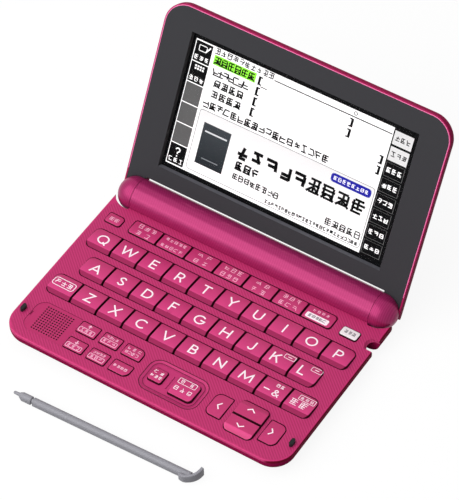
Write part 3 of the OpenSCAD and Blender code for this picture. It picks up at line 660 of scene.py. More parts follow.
def hookRings(around=32):
    # a wall carried along a curve in plan, with a rounded rectangle across it that grows towards the tip
    p = smooth(*stylus["hookPath"])
    d = np.gradient(p, axis=0)
    d /= np.linalg.norm(d, axis=1)[:, None]
    sideways = np.stack([-d[:, 1], d[:, 0]], axis=-1)
    t = np.linspace(0, 1, len(p))[:, None]
    tall = (stylus["hookHeights"][0] * (1 - t) + stylus["hookHeights"][1] * t) / 2
    (root, tip), (rootRise, tipRise) = stylus["hookEnds"], stylus["hookRise"]
    powerAcross, powerUp = stylus["hookRoundness"]
    narrow = np.clip(np.minimum(root + rootRise * t, tip + tipRise * (1 - t)), 0, 1)
    a = np.linspace(0, 2 * math.pi, around, endpoint=False)[None, :]
    across = narrow * stylus["wall"] / 2 * np.sign(np.cos(a)) * np.abs(np.cos(a)) ** powerAcross
    level = tall * (1 + np.sign(np.sin(a)) * np.abs(np.sin(a)) ** powerUp)
    plan = p[:, None, :] + across[..., None] * sideways[:, None, :]
    return np.concatenate([plan, level[..., None]], axis=-1)


def makeStylus():
    verts, faces, _ = joinParts([closedTube(shaftRings()), closedTube(hookRings())])
    obj = meshObject("stylus_shaft_and_hook", toTable(verts), faces, sharp=35)
    addPiece(obj, "stylus_body", "grey_plastic", stylusGrey, replaces="stylus")


# key caps

capShape = {
    "rounding": 0.38,        # radius of the upper edges
    "crease": 0.10,          # softness of the ridge
    "shadeWidth": 0.2,       # outer part of the rounding that takes the painted shade of the sides
    "skirt": 1.6,            # how far the sides run down below the keyboard face
    "flange": 0.6,           # the solid's flange below the face, wider than the cap at front and back
    "leastStep": 0.012,      # no two rows or columns of a cap's grid lie closer
    "letter": {"back": 0.1, "ridge": 1.3, "front": -0.15, "frontRun": 1.9, "bulge": 0.12},
    "dot": 0.28,             # height of the touch typist's mark on f and j
    "dotHalf": (1.1, 0.32),
    "outerRadius": 3.0,      # corners at the ends of a row, and all others
    "innerRadius": 0.6,
}


def capOutline(box, radii):
    # distance from the outline inwards, for a rectangle with a radius at each corner
    x0, x1, y0, y1 = box
    backLeft, backRight, frontRight, frontLeft = radii

    def inside(x, y):
        cx, cy = (x0 + x1) / 2, (y0 + y1) / 2
        r = np.where(x < cx, np.where(y > cy, backLeft, frontLeft), np.where(y > cy, backRight, frontRight))
        qx = np.abs(x - cx) - (x1 - x0) / 2 + r
        qy = np.abs(y - cy) - (y1 - y0) / 2 + r
        out = np.hypot(np.maximum(qx, 0), np.maximum(qy, 0)) + np.minimum(np.maximum(qx, qy), 0) - r
        return np.maximum(-out, 0)
    return inside


def capHeight(box, radii, side):
    # height over the plan: a rise to the ridge, a fall to the front, and a quarter round along the outline
    inside = capOutline(box, radii)
    depth = box[3] - box[2]
    ridgeAt = depth - side["frontRun"]
    bulge = side.get("bulge", 0.0)
    k, r = capShape["crease"], capShape["rounding"]
    dotX, dotY = capShape["dotHalf"]

    def height(x, y):
        d = box[3] - y
        t = d / ridgeAt
        rise = side["back"] + (side["ridge"] - side["back"]) * t + 4 * bulge * t * (1 - t)
        fall = side["ridge"] + (side["front"] - side["ridge"]) * (d - ridgeAt) / (depth - ridgeAt)
        crown = -k * np.logaddexp(-rise / k, -fall / k)
        e = np.clip(r - inside(x, y), 0, r)
        dot = np.exp(-((x - (box[0] + box[1]) / 2) / dotX) ** 6 - ((d - ridgeAt + 0.05) / dotY) ** 4)
        return deckTop + crown + side.get("dot", 0.0) * dot - (r - np.sqrt(r * r - e * e))
    return height


def spread(length, marks, step=0.9):
    # stations from 0 to length: close together by the two ends and round each mark
    near = np.array([0, 0.015, 0.05, 0.1, 0.17, 0.26, 0.38])
    stations = [near, length - near, np.arange(0.38, length - 0.38, step)]
    for mark in marks:
        stations.append(mark + np.array([-0.35, -0.16, -0.06, 0, 0.06, 0.16, 0.35]))
    s = np.unique(np.round(np.concatenate(stations), 3))
    return thinned(s[(s >= 0) & (s <= length)])


def thinned(s):
    # stations without those that lie too close behind the one before
    return s[np.concatenate([[True], np.diff(s) > capShape["leastStep"]])]


def capMesh(box, radii, side):
    # grid of the plan lifted by the height function, then a skirt and a bottom
    x0, x1, y0, y1 = box
    width, depth = x1 - x0, y1 - y0
    height = capHeight(box, radii, side)
    arcs = [a * (1 - math.cos(t)) for a in set(radii) for t in np.linspace(0.3, math.pi / 2, 5)]
    rows = spread(depth, [depth - side["frontRun"]])
    rows = thinned(np.unique(np.round(np.concatenate([rows, arcs, depth - np.array(arcs)]), 3)))
    rows[-1] = depth
    dotX = capShape["dotHalf"][0]
    cols = spread(width, [width / 2 - dotX, width / 2 + dotX] if "dot" in side else []) / width

    def inset(d, backR, frontR):
        # how far a rounded corner draws the end of a row in
        drop = np.where(d < backR, backR - np.sqrt(np.maximum(backR ** 2 - (backR - d) ** 2, 0)), 0)
        e = depth - d
        return np.where(e < frontR, frontR - np.sqrt(np.maximum(frontR ** 2 - (frontR - e) ** 2, 0)), drop)

    left = x0 + inset(rows, radii[0], radii[3])
    right = x1 - inset(rows, radii[1], radii[2])
    x = left[:, None] + (right - left)[:, None] * cols[None, :]
    y = np.broadcast_to((y1 - rows)[:, None], x.shape)
    z = height(x, y)
    top = np.stack([x, y, z], axis=-1).reshape(-1, 3)
    nRows, nCols = x.shape
    faces = gridFaces(nRows, nCols)[:, ::-1]
    index = np.arange(nRows * nCols).reshape(nRows, nCols)
    rim = np.concatenate([index[0, :-1], index[:-1, -1], index[-1, :0:-1], index[:0:-1, 0]])
    foot = top[rim].copy()
    foot[:, 2] = deckTop - capShape["skirt"]
    low = len(top) + np.arange(len(rim))
    skirt = np.stack([rim, np.roll(rim, -1), np.roll(low, -1), low], axis=-1)
    middles = top[faces].mean(axis=1)
    # faces in the outer band of the rounding take the painted shade of the sides
    edge = capOutline(box, radii)(middles[:, 0], middles[:, 1]) < capShape["shadeWidth"]
    front = middles[:, 1] < y1 - depth + side["frontRun"]
    # material 0: the top; 1: the front faces; 2: painted shade on the outer band of the rounding, the skirt
    # and the bottom
    finish = np.concatenate([np.where(edge, 2, np.where(front, 1, 0)), np.full(len(rim) + 1, 2)])
    return np.concatenate([top, foot]), faces.tolist() + skirt.tolist() + [low[::-1].tolist()], finish


keyHeights = {}              # node: plan and height function of each of its caps, for the legends


def makeKey(node, caps, slot="key_pink", top=keyPink, dark=keyFrontShade):
    # caps: list of (box, radii, side view); they move together when there are several
    verts, faces, finish = joinParts([capMesh(*cap) for cap in caps])
    obj = meshObject(node + "_cap", verts, faces, sharp=50)
    addPiece(obj, node + "_body", slot, top, dark, keySideShade, replaces=node)
    obj.data.polygons.foreach_set("material_index", finish.astype(np.int32))
    keyHeights[node] = [(box, capHeight(box, radii, side)) for box, radii, side in caps]


rowKeys = ["qwertyuiop", "asdfghjkl", ["shift", *"zxcvbnm", "symbol", "delete"]]


def planBox(node, frontFlange=True, backFlange=True):
    # left, right, front and back edge of a cap, from the CAD node without its flange
    low, high = boxMm(node)
    out = capShape["flange"]
    return (low[0], high[0], low[1] + (out if frontFlange else 0), high[1] - (out if backFlange else 0))


def makeLetterKeys():
    for row in rowKeys:
        for i, name in enumerate(row):
            leftR = capShape["outerRadius" if i == 0 else "innerRadius"]
            rightR = capShape["outerRadius" if i == len(row) - 1 else "innerRadius"]
            node = "key_" + name
            side = capShape["letter"] | ({"dot": capShape["dot"]} if name in ("f", "j") else {})
            makeKey(node, [(planBox(node), (leftR, rightR, rightR, leftR), side)])


buttons = {
    # node: corner radii, heights of back, ridge and front, share of the depth in front of the ridge
    "power_key": ((0.7, 2.1, 1.3, 1.3), (0.1, 0.7, 0.5), 0.2),
    "home_key": ((1.1, 1.1, 1.1, 1.1), (0.4, 0.8, 0.6), 0.2),
    "return_key": ((1.1, 1.1, 1.1, 1.1), (0.1, 0.7, 0.4), 0.2),
    "enter_key": ((0.7, 2.1, 2.1, 0.7), (0.3, 1.0, 0.6), 0.2),
    "left_key": ((3.1, 0.5, 0.5, 3.1), (0.1, 0.6, 0.4), 0.2),
    "right_key": ((0.5, 3.1, 3.1, 0.5), (0.1, 0.6, 0.4), 0.2),
}
# up and down key: heights of the outer edge, the ridge and the joint between them; slope of the outer side
arrowPair = {"heights": (0.1, 1.3, 1.15), "slope": 2.8, "outerRadius": 2.7, "jointRadius": 0.3}
strip = {
    "gap": 0.8,
    "runShare": 0.15,
    "heights": (0.1, 0.7, 0.5),
    # corner radii of the seven caps: back left, back right, front right, front left
    "radii": [(1.2, 0.6, 0.6, 1.6)] + [(0.6,) * 4] * 5 + [(0.6, 2.0, 1.6, 0.6)],
}
smallPad = {
    "widths": (9.7, 9.4, 9.8),
    "gaps": (2.5, 2.4),
    "depth": 6.7,
    "runShare": 0.2,
    "heights": (0.1, 0.7, 0.5),
}


def sideView(heights, run):
    return {"back": heights[0], "ridge": heights[1], "front": heights[2], "frontRun": run}


def makeButtons():
    for node, (radii, heights, share) in buttons.items():
        box = planBox(node)
        side = sideView(heights, share * (box[3] - box[2]))
        slot, tone = ("white_key", keyWhite) if node == "home_key" else ("key_pink", keyPink)
        makeKey(node, [(box, radii, side)], slot, tone, tone)
    a = arrowPair
    outer, joint = (a["outerRadius"],) * 2, (a["jointRadius"],) * 2
    box = planBox("up_key", frontFlange=False)
    side = sideView(a["heights"], box[3] - box[2] - a["slope"])
    makeKey("up_key", [(box, outer + joint, side)], top=keyEven, dark=keyEven)
    box = planBox("down_key", backFlange=False)
    side = sideView(a["heights"][::-1], a["slope"])
    makeKey("down_key", [(box, joint + outer, side)], top=keyEven, dark=keyPink)


def makeStrip():
    x0, x1, y0, y1 = planBox("category_keys")
    gap = strip["gap"]
    pitch = (x1 - x0 + gap) / len(strip["radii"])
    side = sideView(strip["heights"], strip["runShare"] * (y1 - y0))
    caps = [((x0 + i * pitch, x0 + (i + 1) * pitch - gap, y0, y1), radii, side)
            for i, radii in enumerate(strip["radii"])]
    makeKey("category_keys", caps, dark=keyPink)


def makeSmallPad():
    x0, x1, y0, y1 = planBox("small_keys")
    depth, inner = smallPad["depth"], capShape["innerRadius"]
    side = sideView(smallPad["heights"], smallPad["runShare"] * depth)
    caps = []
    left = x0
    for width, gap in zip(smallPad["widths"], (*smallPad["gaps"], None)):
        outer = inner if gap else capShape["outerRadius"]    # the last column has the pad's large corners
        caps.append(((left, left + width, y1 - depth, y1), (inner, outer, inner, inner), side))
        caps.append(((left, left + width, y0, y0 + depth), (inner, inner, outer, inner), side))
        left += width + (gap or 0)
    makeKey("small_keys", caps, dark=keyPink)


makeLetterKeys()
makeButtons()
makeStrip()
makeSmallPad()
print("key caps made:", len(keyHeights))

# printed legends

stroke = 0.135               # stroke width of a capital over its height


def arc(cx, cy, rx, ry, start, end, steps=20):
    # part of an ellipse between two angles in degrees
    a = np.radians(np.linspace(start, end, steps + 1))
    return np.stack([cx + rx * np.cos(a), cy + ry * np.sin(a)], axis=-1)


def line(*points):
    return np.array(points, float)


def smooth(*points, steps=8):
    # Catmull-Rom curve through the points
    p = np.array(points, float)
    p = np.concatenate([[2 * p[0] - p[1]], p, [2 * p[-1] - p[-2]]])
    t = np.linspace(0, 1, steps, endpoint=False)[:, None]
    spans = []
    for a, b, c, d in zip(p[:-3], p[1:-2], p[2:-1], p[3:]):
        square, cube = 2 * a - 5 * b + 4 * c - d, 3 * b - a - 3 * c + d
        spans.append(0.5 * (2 * b + (c - a) * t + square * t ** 2 + cube * t ** 3))
    return np.concatenate(spans + [p[-2:-1]])


def path(*parts):
    return np.concatenate(parts)


# capitals and signs as paths, one unit high, with their middle at 0
lo, hi = stroke / 2, 1 - stroke / 2
ring = arc(0, 0.5, 0.45, 0.44, 90, 450, 36)
letterPaths = {
    "q": [ring, line((0.12, 0.24), (0.43, -0.06))],
    "w": [line((-0.62, 1), (-0.33, 0.1), (0, 0.92), (0.33, 0.1), (0.62, 1))],
    "e": [line((0.28, hi), (-0.26, hi), (-0.26, lo), (0.3, lo)), line((-0.2, 0.5), (0.24, 0.5))],
    "r": [path(line((-0.28, 0), (-0.28, hi)), arc(0.02, 0.68, 0.25, hi - 0.68, 90, -90),
               line((-0.28, 1.36 - hi))),
          line((0.04, 0.46), (0.32, 0))],
    "t": [line((-0.38, hi), (0.38, hi)), line((0, hi - 0.02), (0, 0))],
    "y": [line((-0.4, 1), (0, 0.44), (0.4, 1)), line((0, 0.44), (0, 0))],
    "u": [path(line((-0.35, 1)), arc(0, 0.38, 0.35, 0.38 - lo, 180, 360), line((0.35, 1)))],
    "i": [line((0, 0), (0, 1))],
    "o": [ring],
    "p": [path(line((-0.26, 0), (-0.26, hi)), arc(0.04, 0.68, 0.25, hi - 0.68, 90, -90),
               line((-0.26, 1.36 - hi)))],
    "a": [line((-0.43, 0), (0, 0.9), (0.43, 0)), line((-0.26, 0.3), (0.26, 0.3))],
    "s": [smooth((0.25, 0.8), (0.03, 0.925), (-0.2, 0.78), (-0.12, 0.58), (0.12, 0.44), (0.25, 0.25),
                 (0, 0.075), (-0.26, 0.2))],
    "d": [path(line((-0.34, lo), (-0.34, hi)), arc(-0.04, 0.5, 0.42, hi - 0.5, 90, -90), line((-0.34, lo)))],
    "f": [line((0.28, hi), (-0.24, hi), (-0.24, 0)), line((-0.18, 0.5), (0.22, 0.5))],
    "g": [path(arc(0.02, 0.5, 0.45, 0.44, 45, 352), line((0.47, 0.47), (0.08, 0.47)))],
    "h": [line((-0.36, 0), (-0.36, 1)), line((0.36, 0), (0.36, 1)), line((-0.3, 0.5), (0.3, 0.5))],
    "j": [path(line((0.16, 1)), arc(-0.06, 0.31, 0.22, 0.31 - lo, 0, -160))],
    "k": [line((-0.3, 0), (-0.3, 1)), line((0.32, 1), (-0.24, 0.44)), line((-0.03, 0.64), (0.38, 0))],
    "l": [line((-0.26, 1), (-0.26, lo), (0.28, lo))],
    "z": [line((-0.33, hi), (0.3, hi), (-0.3, lo), (0.36, lo))],
    "x": [line((-0.4, 1), (0.4, 0)), line((-0.4, 0), (0.4, 1))],
    "c": [arc(0.06, 0.5, 0.45, 0.44, 45, 315, 28)],
    "v": [line((-0.44, 1), (0, 0.1), (0.44, 1))],
    "b": [path(line((-0.28, 0.52), (-0.28, hi)), arc(0, 0.72, 0.21, hi - 0.72, 90, -90), line((-0.28, 0.52))),
          path(line((-0.28, lo), (-0.28, 0.52)), arc(0.02, 0.3, 0.26, 0.22, 90, -90), line((-0.28, lo)))],
    "n": [line((-0.36, 0), (-0.36, 0.9), (0.36, 0.1), (0.36, 1))],
    "m": [line((-0.52, 0), (-0.43, 0.9), (0, 0.2), (0.43, 0.9), (0.52, 0))],
    "&": [smooth((0.46, 0), (0.14, 0.34), (-0.2, 0.7), (-0.12, 0.9), (0.04, 0.92), (0.16, 0.76),
                 (0, 0.6), (-0.26, 0.4), (-0.32, 0.2), (-0.14, 0.07), (0.1, 0.1), (0.32, 0.3), (0.38, 0.46))],
    "?": [smooth((-0.24, 0.74), (-0.14, 0.9), (0.04, 0.93), (0.22, 0.8), (0.18, 0.6), (0.01, 0.46), (0, 0.3)),
          line((0, 0), (0, 0.14))],
}


def refine(points, step):
    # extra points along the straight stretches, so that a stroke can follow a curved surface
    spans = np.diff(points, axis=0)
    counts = np.maximum(1, np.ceil(np.linalg.norm(spans, axis=1) / step)).astype(int)
    owner = np.repeat(np.arange(len(spans)), counts)
    nth = 1 + np.arange(counts.sum()) - np.repeat(np.cumsum(counts) - counts, counts)
    return np.concatenate([points[:1], points[owner] + spans[owner] * nth[:, None] / counts[owner, None]])


def strokeSolid(points, width, heightAt, lift, thick=0.05, step=0.7):
    # a flat bar along a path: the path moved by half the width along its mitred normal, top and underside
    p = refine(np.asarray(points, float), step)
    p = p[np.concatenate([[True], np.linalg.norm(np.diff(p, axis=0), axis=1) > 1e-6])]
    closed = len(p) > 3 and np.linalg.norm(p[0] - p[-1]) < 1e-6
    if closed:
        p = p[:-1]
    d = np.roll(p, -1, axis=0) - p
    d /= np.maximum(np.linalg.norm(d, axis=1), 1e-9)[:, None]
    if not closed:
        d[-1] = d[-2]
    before = np.roll(d, 1, axis=0)
    if not closed:
        before[0] = d[0]
    normal = np.stack([-(d + before)[:, 1], (d + before)[:, 0]], axis=-1)
    normal /= np.maximum(np.linalg.norm(normal, axis=1), 1e-9)[:, None]
    along = np.abs(-d[:, 1] * normal[:, 0] + d[:, 0] * normal[:, 1])
    reach = np.minimum(1 / np.maximum(along, 1e-3), 2.0)[:, None] * width / 2
    left, right = p + normal * reach, p - normal * reach
    rings = np.stack([left, right, right, left], axis=1)
    z = heightAt(rings[..., 0], rings[..., 1]) + lift
    z[:, 2:] -= thick
    verts = np.concatenate([rings, z[..., None]], axis=-1).reshape(-1, 3)
    n = len(p)
    if closed:
        return verts, (gridFaces(n + 1, 4, wrap=True) % (4 * n)).tolist()
    last = 4 * n - 4
    return verts, gridFaces(n, 4, wrap=True).tolist() + [[3, 2, 1, 0], [last, last + 1, last + 2, last + 3]]


def strokesMesh(jobs, heightAt):
    # jobs: (path, width); each stroke lies a hair above the one before it, so that no two tops coincide
    lifts = (0.03, 0.036, 0.042, 0.048, 0.054)
    solids = [strokeSolid(points, width, heightAt, lifts[i % len(lifts)])
              for i, (points, width) in enumerate(jobs)]
    return joinParts(solids)[:2]


def glyph(name, x, y, height):
    # a capital with its middle at x and its foot at y
    return [(np.array(s) * height + (x, y), stroke * height) for s in letterPaths[name]]


def roundedBox(x0, x1, y0, y1, r):
    # outline of a rectangle with round corners, from its upper right corner round
    corners = ((x1 - r, y1 - r, 90), (x1 - r, y0 + r, 0), (x0 + r, y0 + r, 270), (x0 + r, y1 - r, 180))
    return path(*[arc(cx, cy, r, r, start, start - 90, 5) for cx, cy, start in corners], line((x1 - r, y1)))


chance = np.random.default_rng(7)


def mark(x, y, size, weight, dense):
    # a made-up sign without meaning: bars across and upright bars within a square, its middle at x, y
    half = size / 2
    rich = dense and size > 3
    bars = []
    choices = ((-0.85, -0.3, 0.25, 0.8), (-0.7, 0.0, 0.75), (-0.85, 0.1, 0.85))
    levels = chance.permutation(choices[chance.integers(3)])
    for level in levels[:(4 if rich else 3) if dense else 2]:
        bars.append((-chance.uniform(0.5, 0.95), level, chance.uniform(0.5, 0.95), level))
    for place in chance.permutation([-0.65, 0.0, 0.65])[:2 if dense else 1]:
        slant = 0.0 if dense else chance.uniform(-0.5, 0.5)
        bars.append((place - slant, -chance.uniform(0.5, 0.95), place + slant / 2, chance.uniform(0.6, 0.95)))
    if rich and chance.random() < 0.6:
        bars += [(-0.1, -0.2, -0.9, -0.95), (0.1, -0.2, 0.9, -0.95)]
    return [(line((x + a * half, y + b * half), (x + c * half, y + d * half)), weight) for a, b, c, d in bars]


def marks(x0, x1, y, size, weight, count, dense=0.7):
    # a row of made-up signs between x0 and x1, a share of them with more bars
    places = np.linspace(x0 + size / 2, x1 - size / 2, count)
    return [job for x in places for job in mark(x, y, size, weight, chance.random() < dense)]


legend = {
    "height": 5.5,           # height of the capitals
    "foot": -8.5,            # their foot, from the back edge of the key
    "sideways": {"k": -1.9, "l": -1.9},
    # k and l have a small framed sign at their right
    "sideSign": [("frame", 1.0, 6.2, -3.7, -1.1, 0.4, 0.26), ("bar", 2.6, 4.6, -2.4, 0.36)],
}
# what is printed on the other keys, in millimetres from the middle of the key's back edge:
# frame: left, right, front and back edge, corner radius, stroke width
# signs: left, right, middle, size, stroke width, how many, share of them with more bars
# bar: left, right, place, stroke width
# letter: which, middle, foot, height
# arrow: middle, place, and 1 up or -1 down
keyWords = {
    "key_shift": [("frame", -5.8, 5.2, -7.4, -2.7, 1.3, 0.4), ("signs", -4.7, 4.1, -5.05, 2.7, 0.4, 3, 0.2)],
    "key_symbol": [("letter", "&", 1.9, -9.1, 3.9), ("bar", -4.4, -1.4, -6.9, 0.6),
                   ("signs", -0.4, 3.8, -2.6, 1.9, 0.26, 2, 1.0)],
    "key_delete": [("frame", -2.3, 5.5, -4.3, -1.4, 0.3, 0.26), ("signs", -1.5, 4.8, -2.85, 1.7, 0.2, 3, 1.0),
                   ("signs", -4.7, 3.6, -6.7, 3.8, 0.34, 2, 1.0)],
    "power_key": [("signs", -2.6, 2.6, -3.4, 2.5, 0.26, 2, 1.0)],
    "home_key": [("signs", -2.9, 2.9, -2.5, 1.8, 0.3, 3)],
}
islandWords = {
    "return_key": [("signs", -2.6, 2.2, -2.3, 1.7, 0.24, 2), ("signs", -3.0, 2.8, -5.0, 1.7, 0.24, 3)],
    "enter_key": [("frame", -5.0, 3.9, -3.6, -0.6, 0.5, 0.26), ("signs", -3.9, 2.8, -2.1, 1.9, 0.24, 2),
                  ("signs", -4.9, 4.3, -6.6, 2.4, 0.28, 3)],
}
framedSigns = [("frame", -4.2, 3.6, -5.9, -3.4, 0.5, 0.3), ("signs", -3.4, 2.8, -4.65, 1.6, 0.24, 3)]
smallWords = [
    framedSigns + [("arrow", -0.3, -1.8, 1)],
    framedSigns + [("arrow", -0.3, -1.8, -1)],
    framedSigns + [("signs", -3.4, 2.8, -1.8, 1.5, 0.2, 4)],
    framedSigns + [("signs", -3.4, 2.8, -1.8, 1.5, 0.2, 4)],
    [("signs", -3.8, 3.2, -2.0, 1.6, 0.24, 3), ("signs", -3.8, 3.2, -4.6, 1.7, 0.24, 4)],
    [("signs", -3.9, 3.3, -3.4, 1.6, 0.3, 4)],
]
stripWords = {
    "counts": ((3, 2), (5, 5), (2, 2), (3, 3), (2, 2), (3, 3)),   # signs in the back and front row of a key
    "places": (-2.15, -6.25),
    # by number of signs: half the length of the row, size and stroke width
    "rows": {2: (3.6, 2.6, 0.25), 3: (4.7, 2.6, 0.25), 5: (5.6, 1.9, 0.22)},
    "last": [("signs", -4.4, 3.8, -2.1, 1.5, 0.22, 4)],
    "plate": (-6.0, 5.4, -7.5, -4.2),      # the last key's white plate: left, right, front, back
    "plateSigns": [("signs", -4.8, 4.2, -5.85, 1.8, 0.28, 5)],
    "plateLine": (0.4, 0.35),              # the plate is printed in lines: their width and distance
    "plateRound": 0.3,
}
# the arrows on the small keys: how far its middle lies behind its place, length of the tail and the
# shaft from there, reach of the wings sideways and forwards, stroke width of shaft and wings
smallArrow = {"back": 0.1, "tail": 0.9, "shaft": 0.7, "wing": (0.9, 0.1), "strokes": (0.6, 0.35)}
inks = {"power_key": (palePrint, "white_key"), "home_key": (greyPrint, "grey_plastic")}


def printed(x, back, parts):
    # strokes of the parts printed on a key, from the middle of its back edge
    jobs = []
    for kind, *values in parts:
        if kind == "letter":
            which, middle, foot, height = values
            jobs += glyph(which, x + middle, back + foot, height)
        elif kind == "arrow":
            middle, place, tip = x + values[0], back + values[1], values[2]
            a, start = smallArrow, place + smallArrow["back"]
            shaft = line((middle, start - tip * a["tail"]), (middle, start + tip * a["shaft"]))
            side, ahead = a["wing"][0], place + tip * a["wing"][1]
            wings = line((middle - side, ahead), (middle, place + tip), (middle + side, ahead))
            jobs += list(zip((shaft, wings), a["strokes"]))
        else:
            left, right, place, *rest = values
            left, right, place = x + left, x + right, back + place
            if kind == "signs":
                jobs += marks(left, right, place, *rest)
            elif kind == "frame":
                jobs.append((roundedBox(left, right, place, back + rest[0], rest[1]), rest[2]))
            else:
                jobs.append((line((left, place), (right, place)), rest[0]))
    return jobs


def addLegend(name, body, jobs, heightAt, ink=whitePrint, slot="white_key"):
    obj = meshObject("legend_" + name, *strokesMesh(jobs, heightAt), sharp=30)
    return addPiece(obj, body, slot, ink)


def midOf(node, cap=0):
    # middle of a cap's width, and its back edge
    box = keyHeights[node][cap][0]
    return (box[0] + box[1]) / 2, box[3]


def letterLegends():
    letters = [name for row in rowKeys for name in row if len(name) == 1]
    for name in letters:
        node = "key_" + name
        x, back = midOf(node)
        moved = legend["sideways"].get(name, 0)
        jobs = printed(x, back, [("letter", name, moved, legend["foot"], legend["height"])])
        if moved:
            jobs += printed(x, back, legend["sideSign"])
        addLegend(name, node + "_body", jobs, keyHeights[node][0][1])


def wordLegends(words):
    for node, parts in words.items():
        ink = inks.get(node, (whitePrint, "white_key"))
        name = node.removeprefix("key_").removesuffix("_key")
        addLegend(name, node + "_body", printed(*midOf(node), parts), keyHeights[node][0][1], *ink)


def stripLegends():
    def heightAt(px, py):
        # every key of the strip has the same side view, so the middle of one of them serves all
        return keyHeights["category_keys"][3][1](np.full(np.shape(px), midOf("category_keys", 3)[0]), py)

    s = stripWords
    jobs = []
    for i, counts in enumerate(s["counts"]):
        for count, place in zip(counts, s["places"]):
            half, size, width = s["rows"][count]
            jobs += printed(*midOf("category_keys", i), [("signs", -half, half, place, size, width, count)])
    x, back = midOf("category_keys", len(s["counts"]))
    jobs += printed(x, back, s["last"])
    plateJobs = printed(x, back, s["plateSigns"])
    addLegend("categories", "category_keys_body", jobs, heightAt, palePrint)
    # the plate's first and last lines are drawn in a little, which rounds its corners
    left, right, front, rear = np.array(s["plate"]) + (x, x, back, back)
    width, distance = s["plateLine"]
    rows = np.arange(front + width / 2, rear - width / 4, distance)
    inside = np.minimum(rows - front, rear - rows) - width / 2
    ends = distance * np.maximum(0, 1 - inside / s["plateRound"])
    jobs = [(line((left + e, y), (right - e, y)), width) for y, e in zip(rows, ends)]
    addLegend("plate", "category_keys_body", jobs, heightAt)
    addLegend("plate_marks", "category_keys_body", plateJobs, lambda px, py: heightAt(px, py) + 0.05,
              greyPrint, "grey_plastic")


def padLegends():
    def heightAt(px, py):
        # all caps of a row share one side view, read at the middle of that row's second cap
        caps = keyHeights["small_keys"]
        upper, lower = [caps[i][1](np.full(np.shape(px), midOf("small_keys", i)[0]), py) for i in (2, 3)]
        return np.where(py > midOf("small_keys", 1)[1], upper, lower)

    jobs = [job for cap, parts in enumerate(smallWords) for job in printed(*midOf("small_keys", cap), parts)]
    addLegend("small_keys", "small_keys_body", jobs, heightAt, palePrint)


chevron = {
    "half": (0.7, 1.85),     # half its length and half its width
    "stroke": 0.54,
    # key: which way it points, and its place from the middle of the key's back edge
    "keys": {
        "left_key": ((-1, 0), (0.0, -6.3)),
        "right_key": ((1, 0), (-0.9, -6.0)),
        "up_key": ((0, 1), (-0.4, -4.2)),
        "down_key": ((0, -1), (-0.5, -4.3)),
    },
}


def arrowLegends():
    for node, (way, place) in chevron["keys"].items():
        middle = np.array(midOf(node)) + place
        tip = chevron["half"][0] * np.array(way, float)
        wing = chevron["half"][1] * np.array([-way[1], way[0]], float)
        jobs = [(np.array([middle - tip + wing, middle + tip, middle - tip - wing]), chevron["stroke"])]
        addLegend(node, node + "_body", jobs, keyHeights[node][0][1])


makeStylus()
letterLegends()
wordLegends(keyWords)
stripLegends()
padLegends()
wordLegends(islandWords)
arrowLegends()
print("stylus made and legends printed")

# painted highlight and shade lines


def onLid(x, u, n):
    # a point of the lid, given along the hinge, up the lid and out of the screen
    x, u, n = np.broadcast_arrays(np.asarray(x, float), u, n)
    return x[..., None] * (1.0, 0, 0) + u[..., None] * lidUp + n[..., None] * lidOut + (0, hingeY, hingeZ)


lidEdge = {
    "halfWidth": 74.0,
    "reach": 97.0,           # from the hinge to the lid's far edge
    "foot": 10.0,
    "radius": 11.5,
    "inset": 0.66,
    "width": 0.36,
    "level": -1.5,           # out of the screen, from the hinge axis
    "lift": 0.02,
}
islandGrooves = {
    "lift": 0.012,
    # how far inside the island's outline, and how wide
    "lines": ((0.0, 0.42), (1.75, 0.24)),
}


def flatHeight(level):
    return lambda px, py: np.full(np.shape(px), level)


def makeLidEdge(e):
    # a painted highlight along the lid shell's rim: up one side, round both corners and down the other
    x, u, r = e["halfWidth"] - e["inset"], e["reach"] - e["inset"], e["radius"] - e["inset"]
    route = path(line((-x, e["foot"])), arc(-x + r, u - r, r, r, 180, 90),
                 arc(x - r, u - r, r, r, 90, 0), line((x, e["foot"])))
    verts, faces = strokeSolid(route, e["width"], flatHeight(e["level"]), e["lift"])
    addPiece(meshObject("lid_edge_highlight", onLid(*verts.T), faces), "lid", "case_pink", lidEdgeHighlight)


def makeIslandGrooves(grooves):
    # painted shade in the grooves round the island of the return and enter keys, as thin dark bars flush with
    # the deck
    left, right, front, back, radius = island.values()
    solids = []
    for d, width in grooves["lines"]:
        route = roundedBox(left + d, right - d, front + d, back - d, radius - d)
        solids.append(strokeSolid(route, width, flatHeight(deckTop), grooves["lift"]))
    verts, faces, _ = joinParts(solids)
    addPiece(meshObject("island_groove_shade", verts, faces), "base", "case_pink", grooveShade)


makeLidEdge(lidEdge)
makeIslandGrooves(islandGrooves)

# display picture

black, white = "#020203", "#FFFFFF"
screen = {
    "level": -3.73,          # height of the picture over the hinge axis, just under the touch panel
    "layer": 0.006,          # from one layer of the picture to the next
    "stripEnds": (82.3, 20.3),           # upper and lower end of both strips of touch fields
    "left": (-56.6, -47.9),
    "right": (46.9, 56.4),
    "idle": "#5A5A5A",
    "light": "#DADADA",
    "edge": "#6C6C6C",
    # pictures on the left strip, from the upper edge of their field
    "tablet": (-54.6, -50.6, -4.6, -1.9, 0.3, 0.35),     # left, right, low, high, radius, stroke width
    "pen": ((-50.9, -4.4), (-48.9, -1.5), 0.7),          # its two ends and its width
    "keyboard": {"place": (-54.4, -2.2), "pitch": 1.3, "key": 0.9, "columns": 4, "rows": 2},
    "question": (-52.2, -6.2, 4.6),                      # middle, foot and height
}
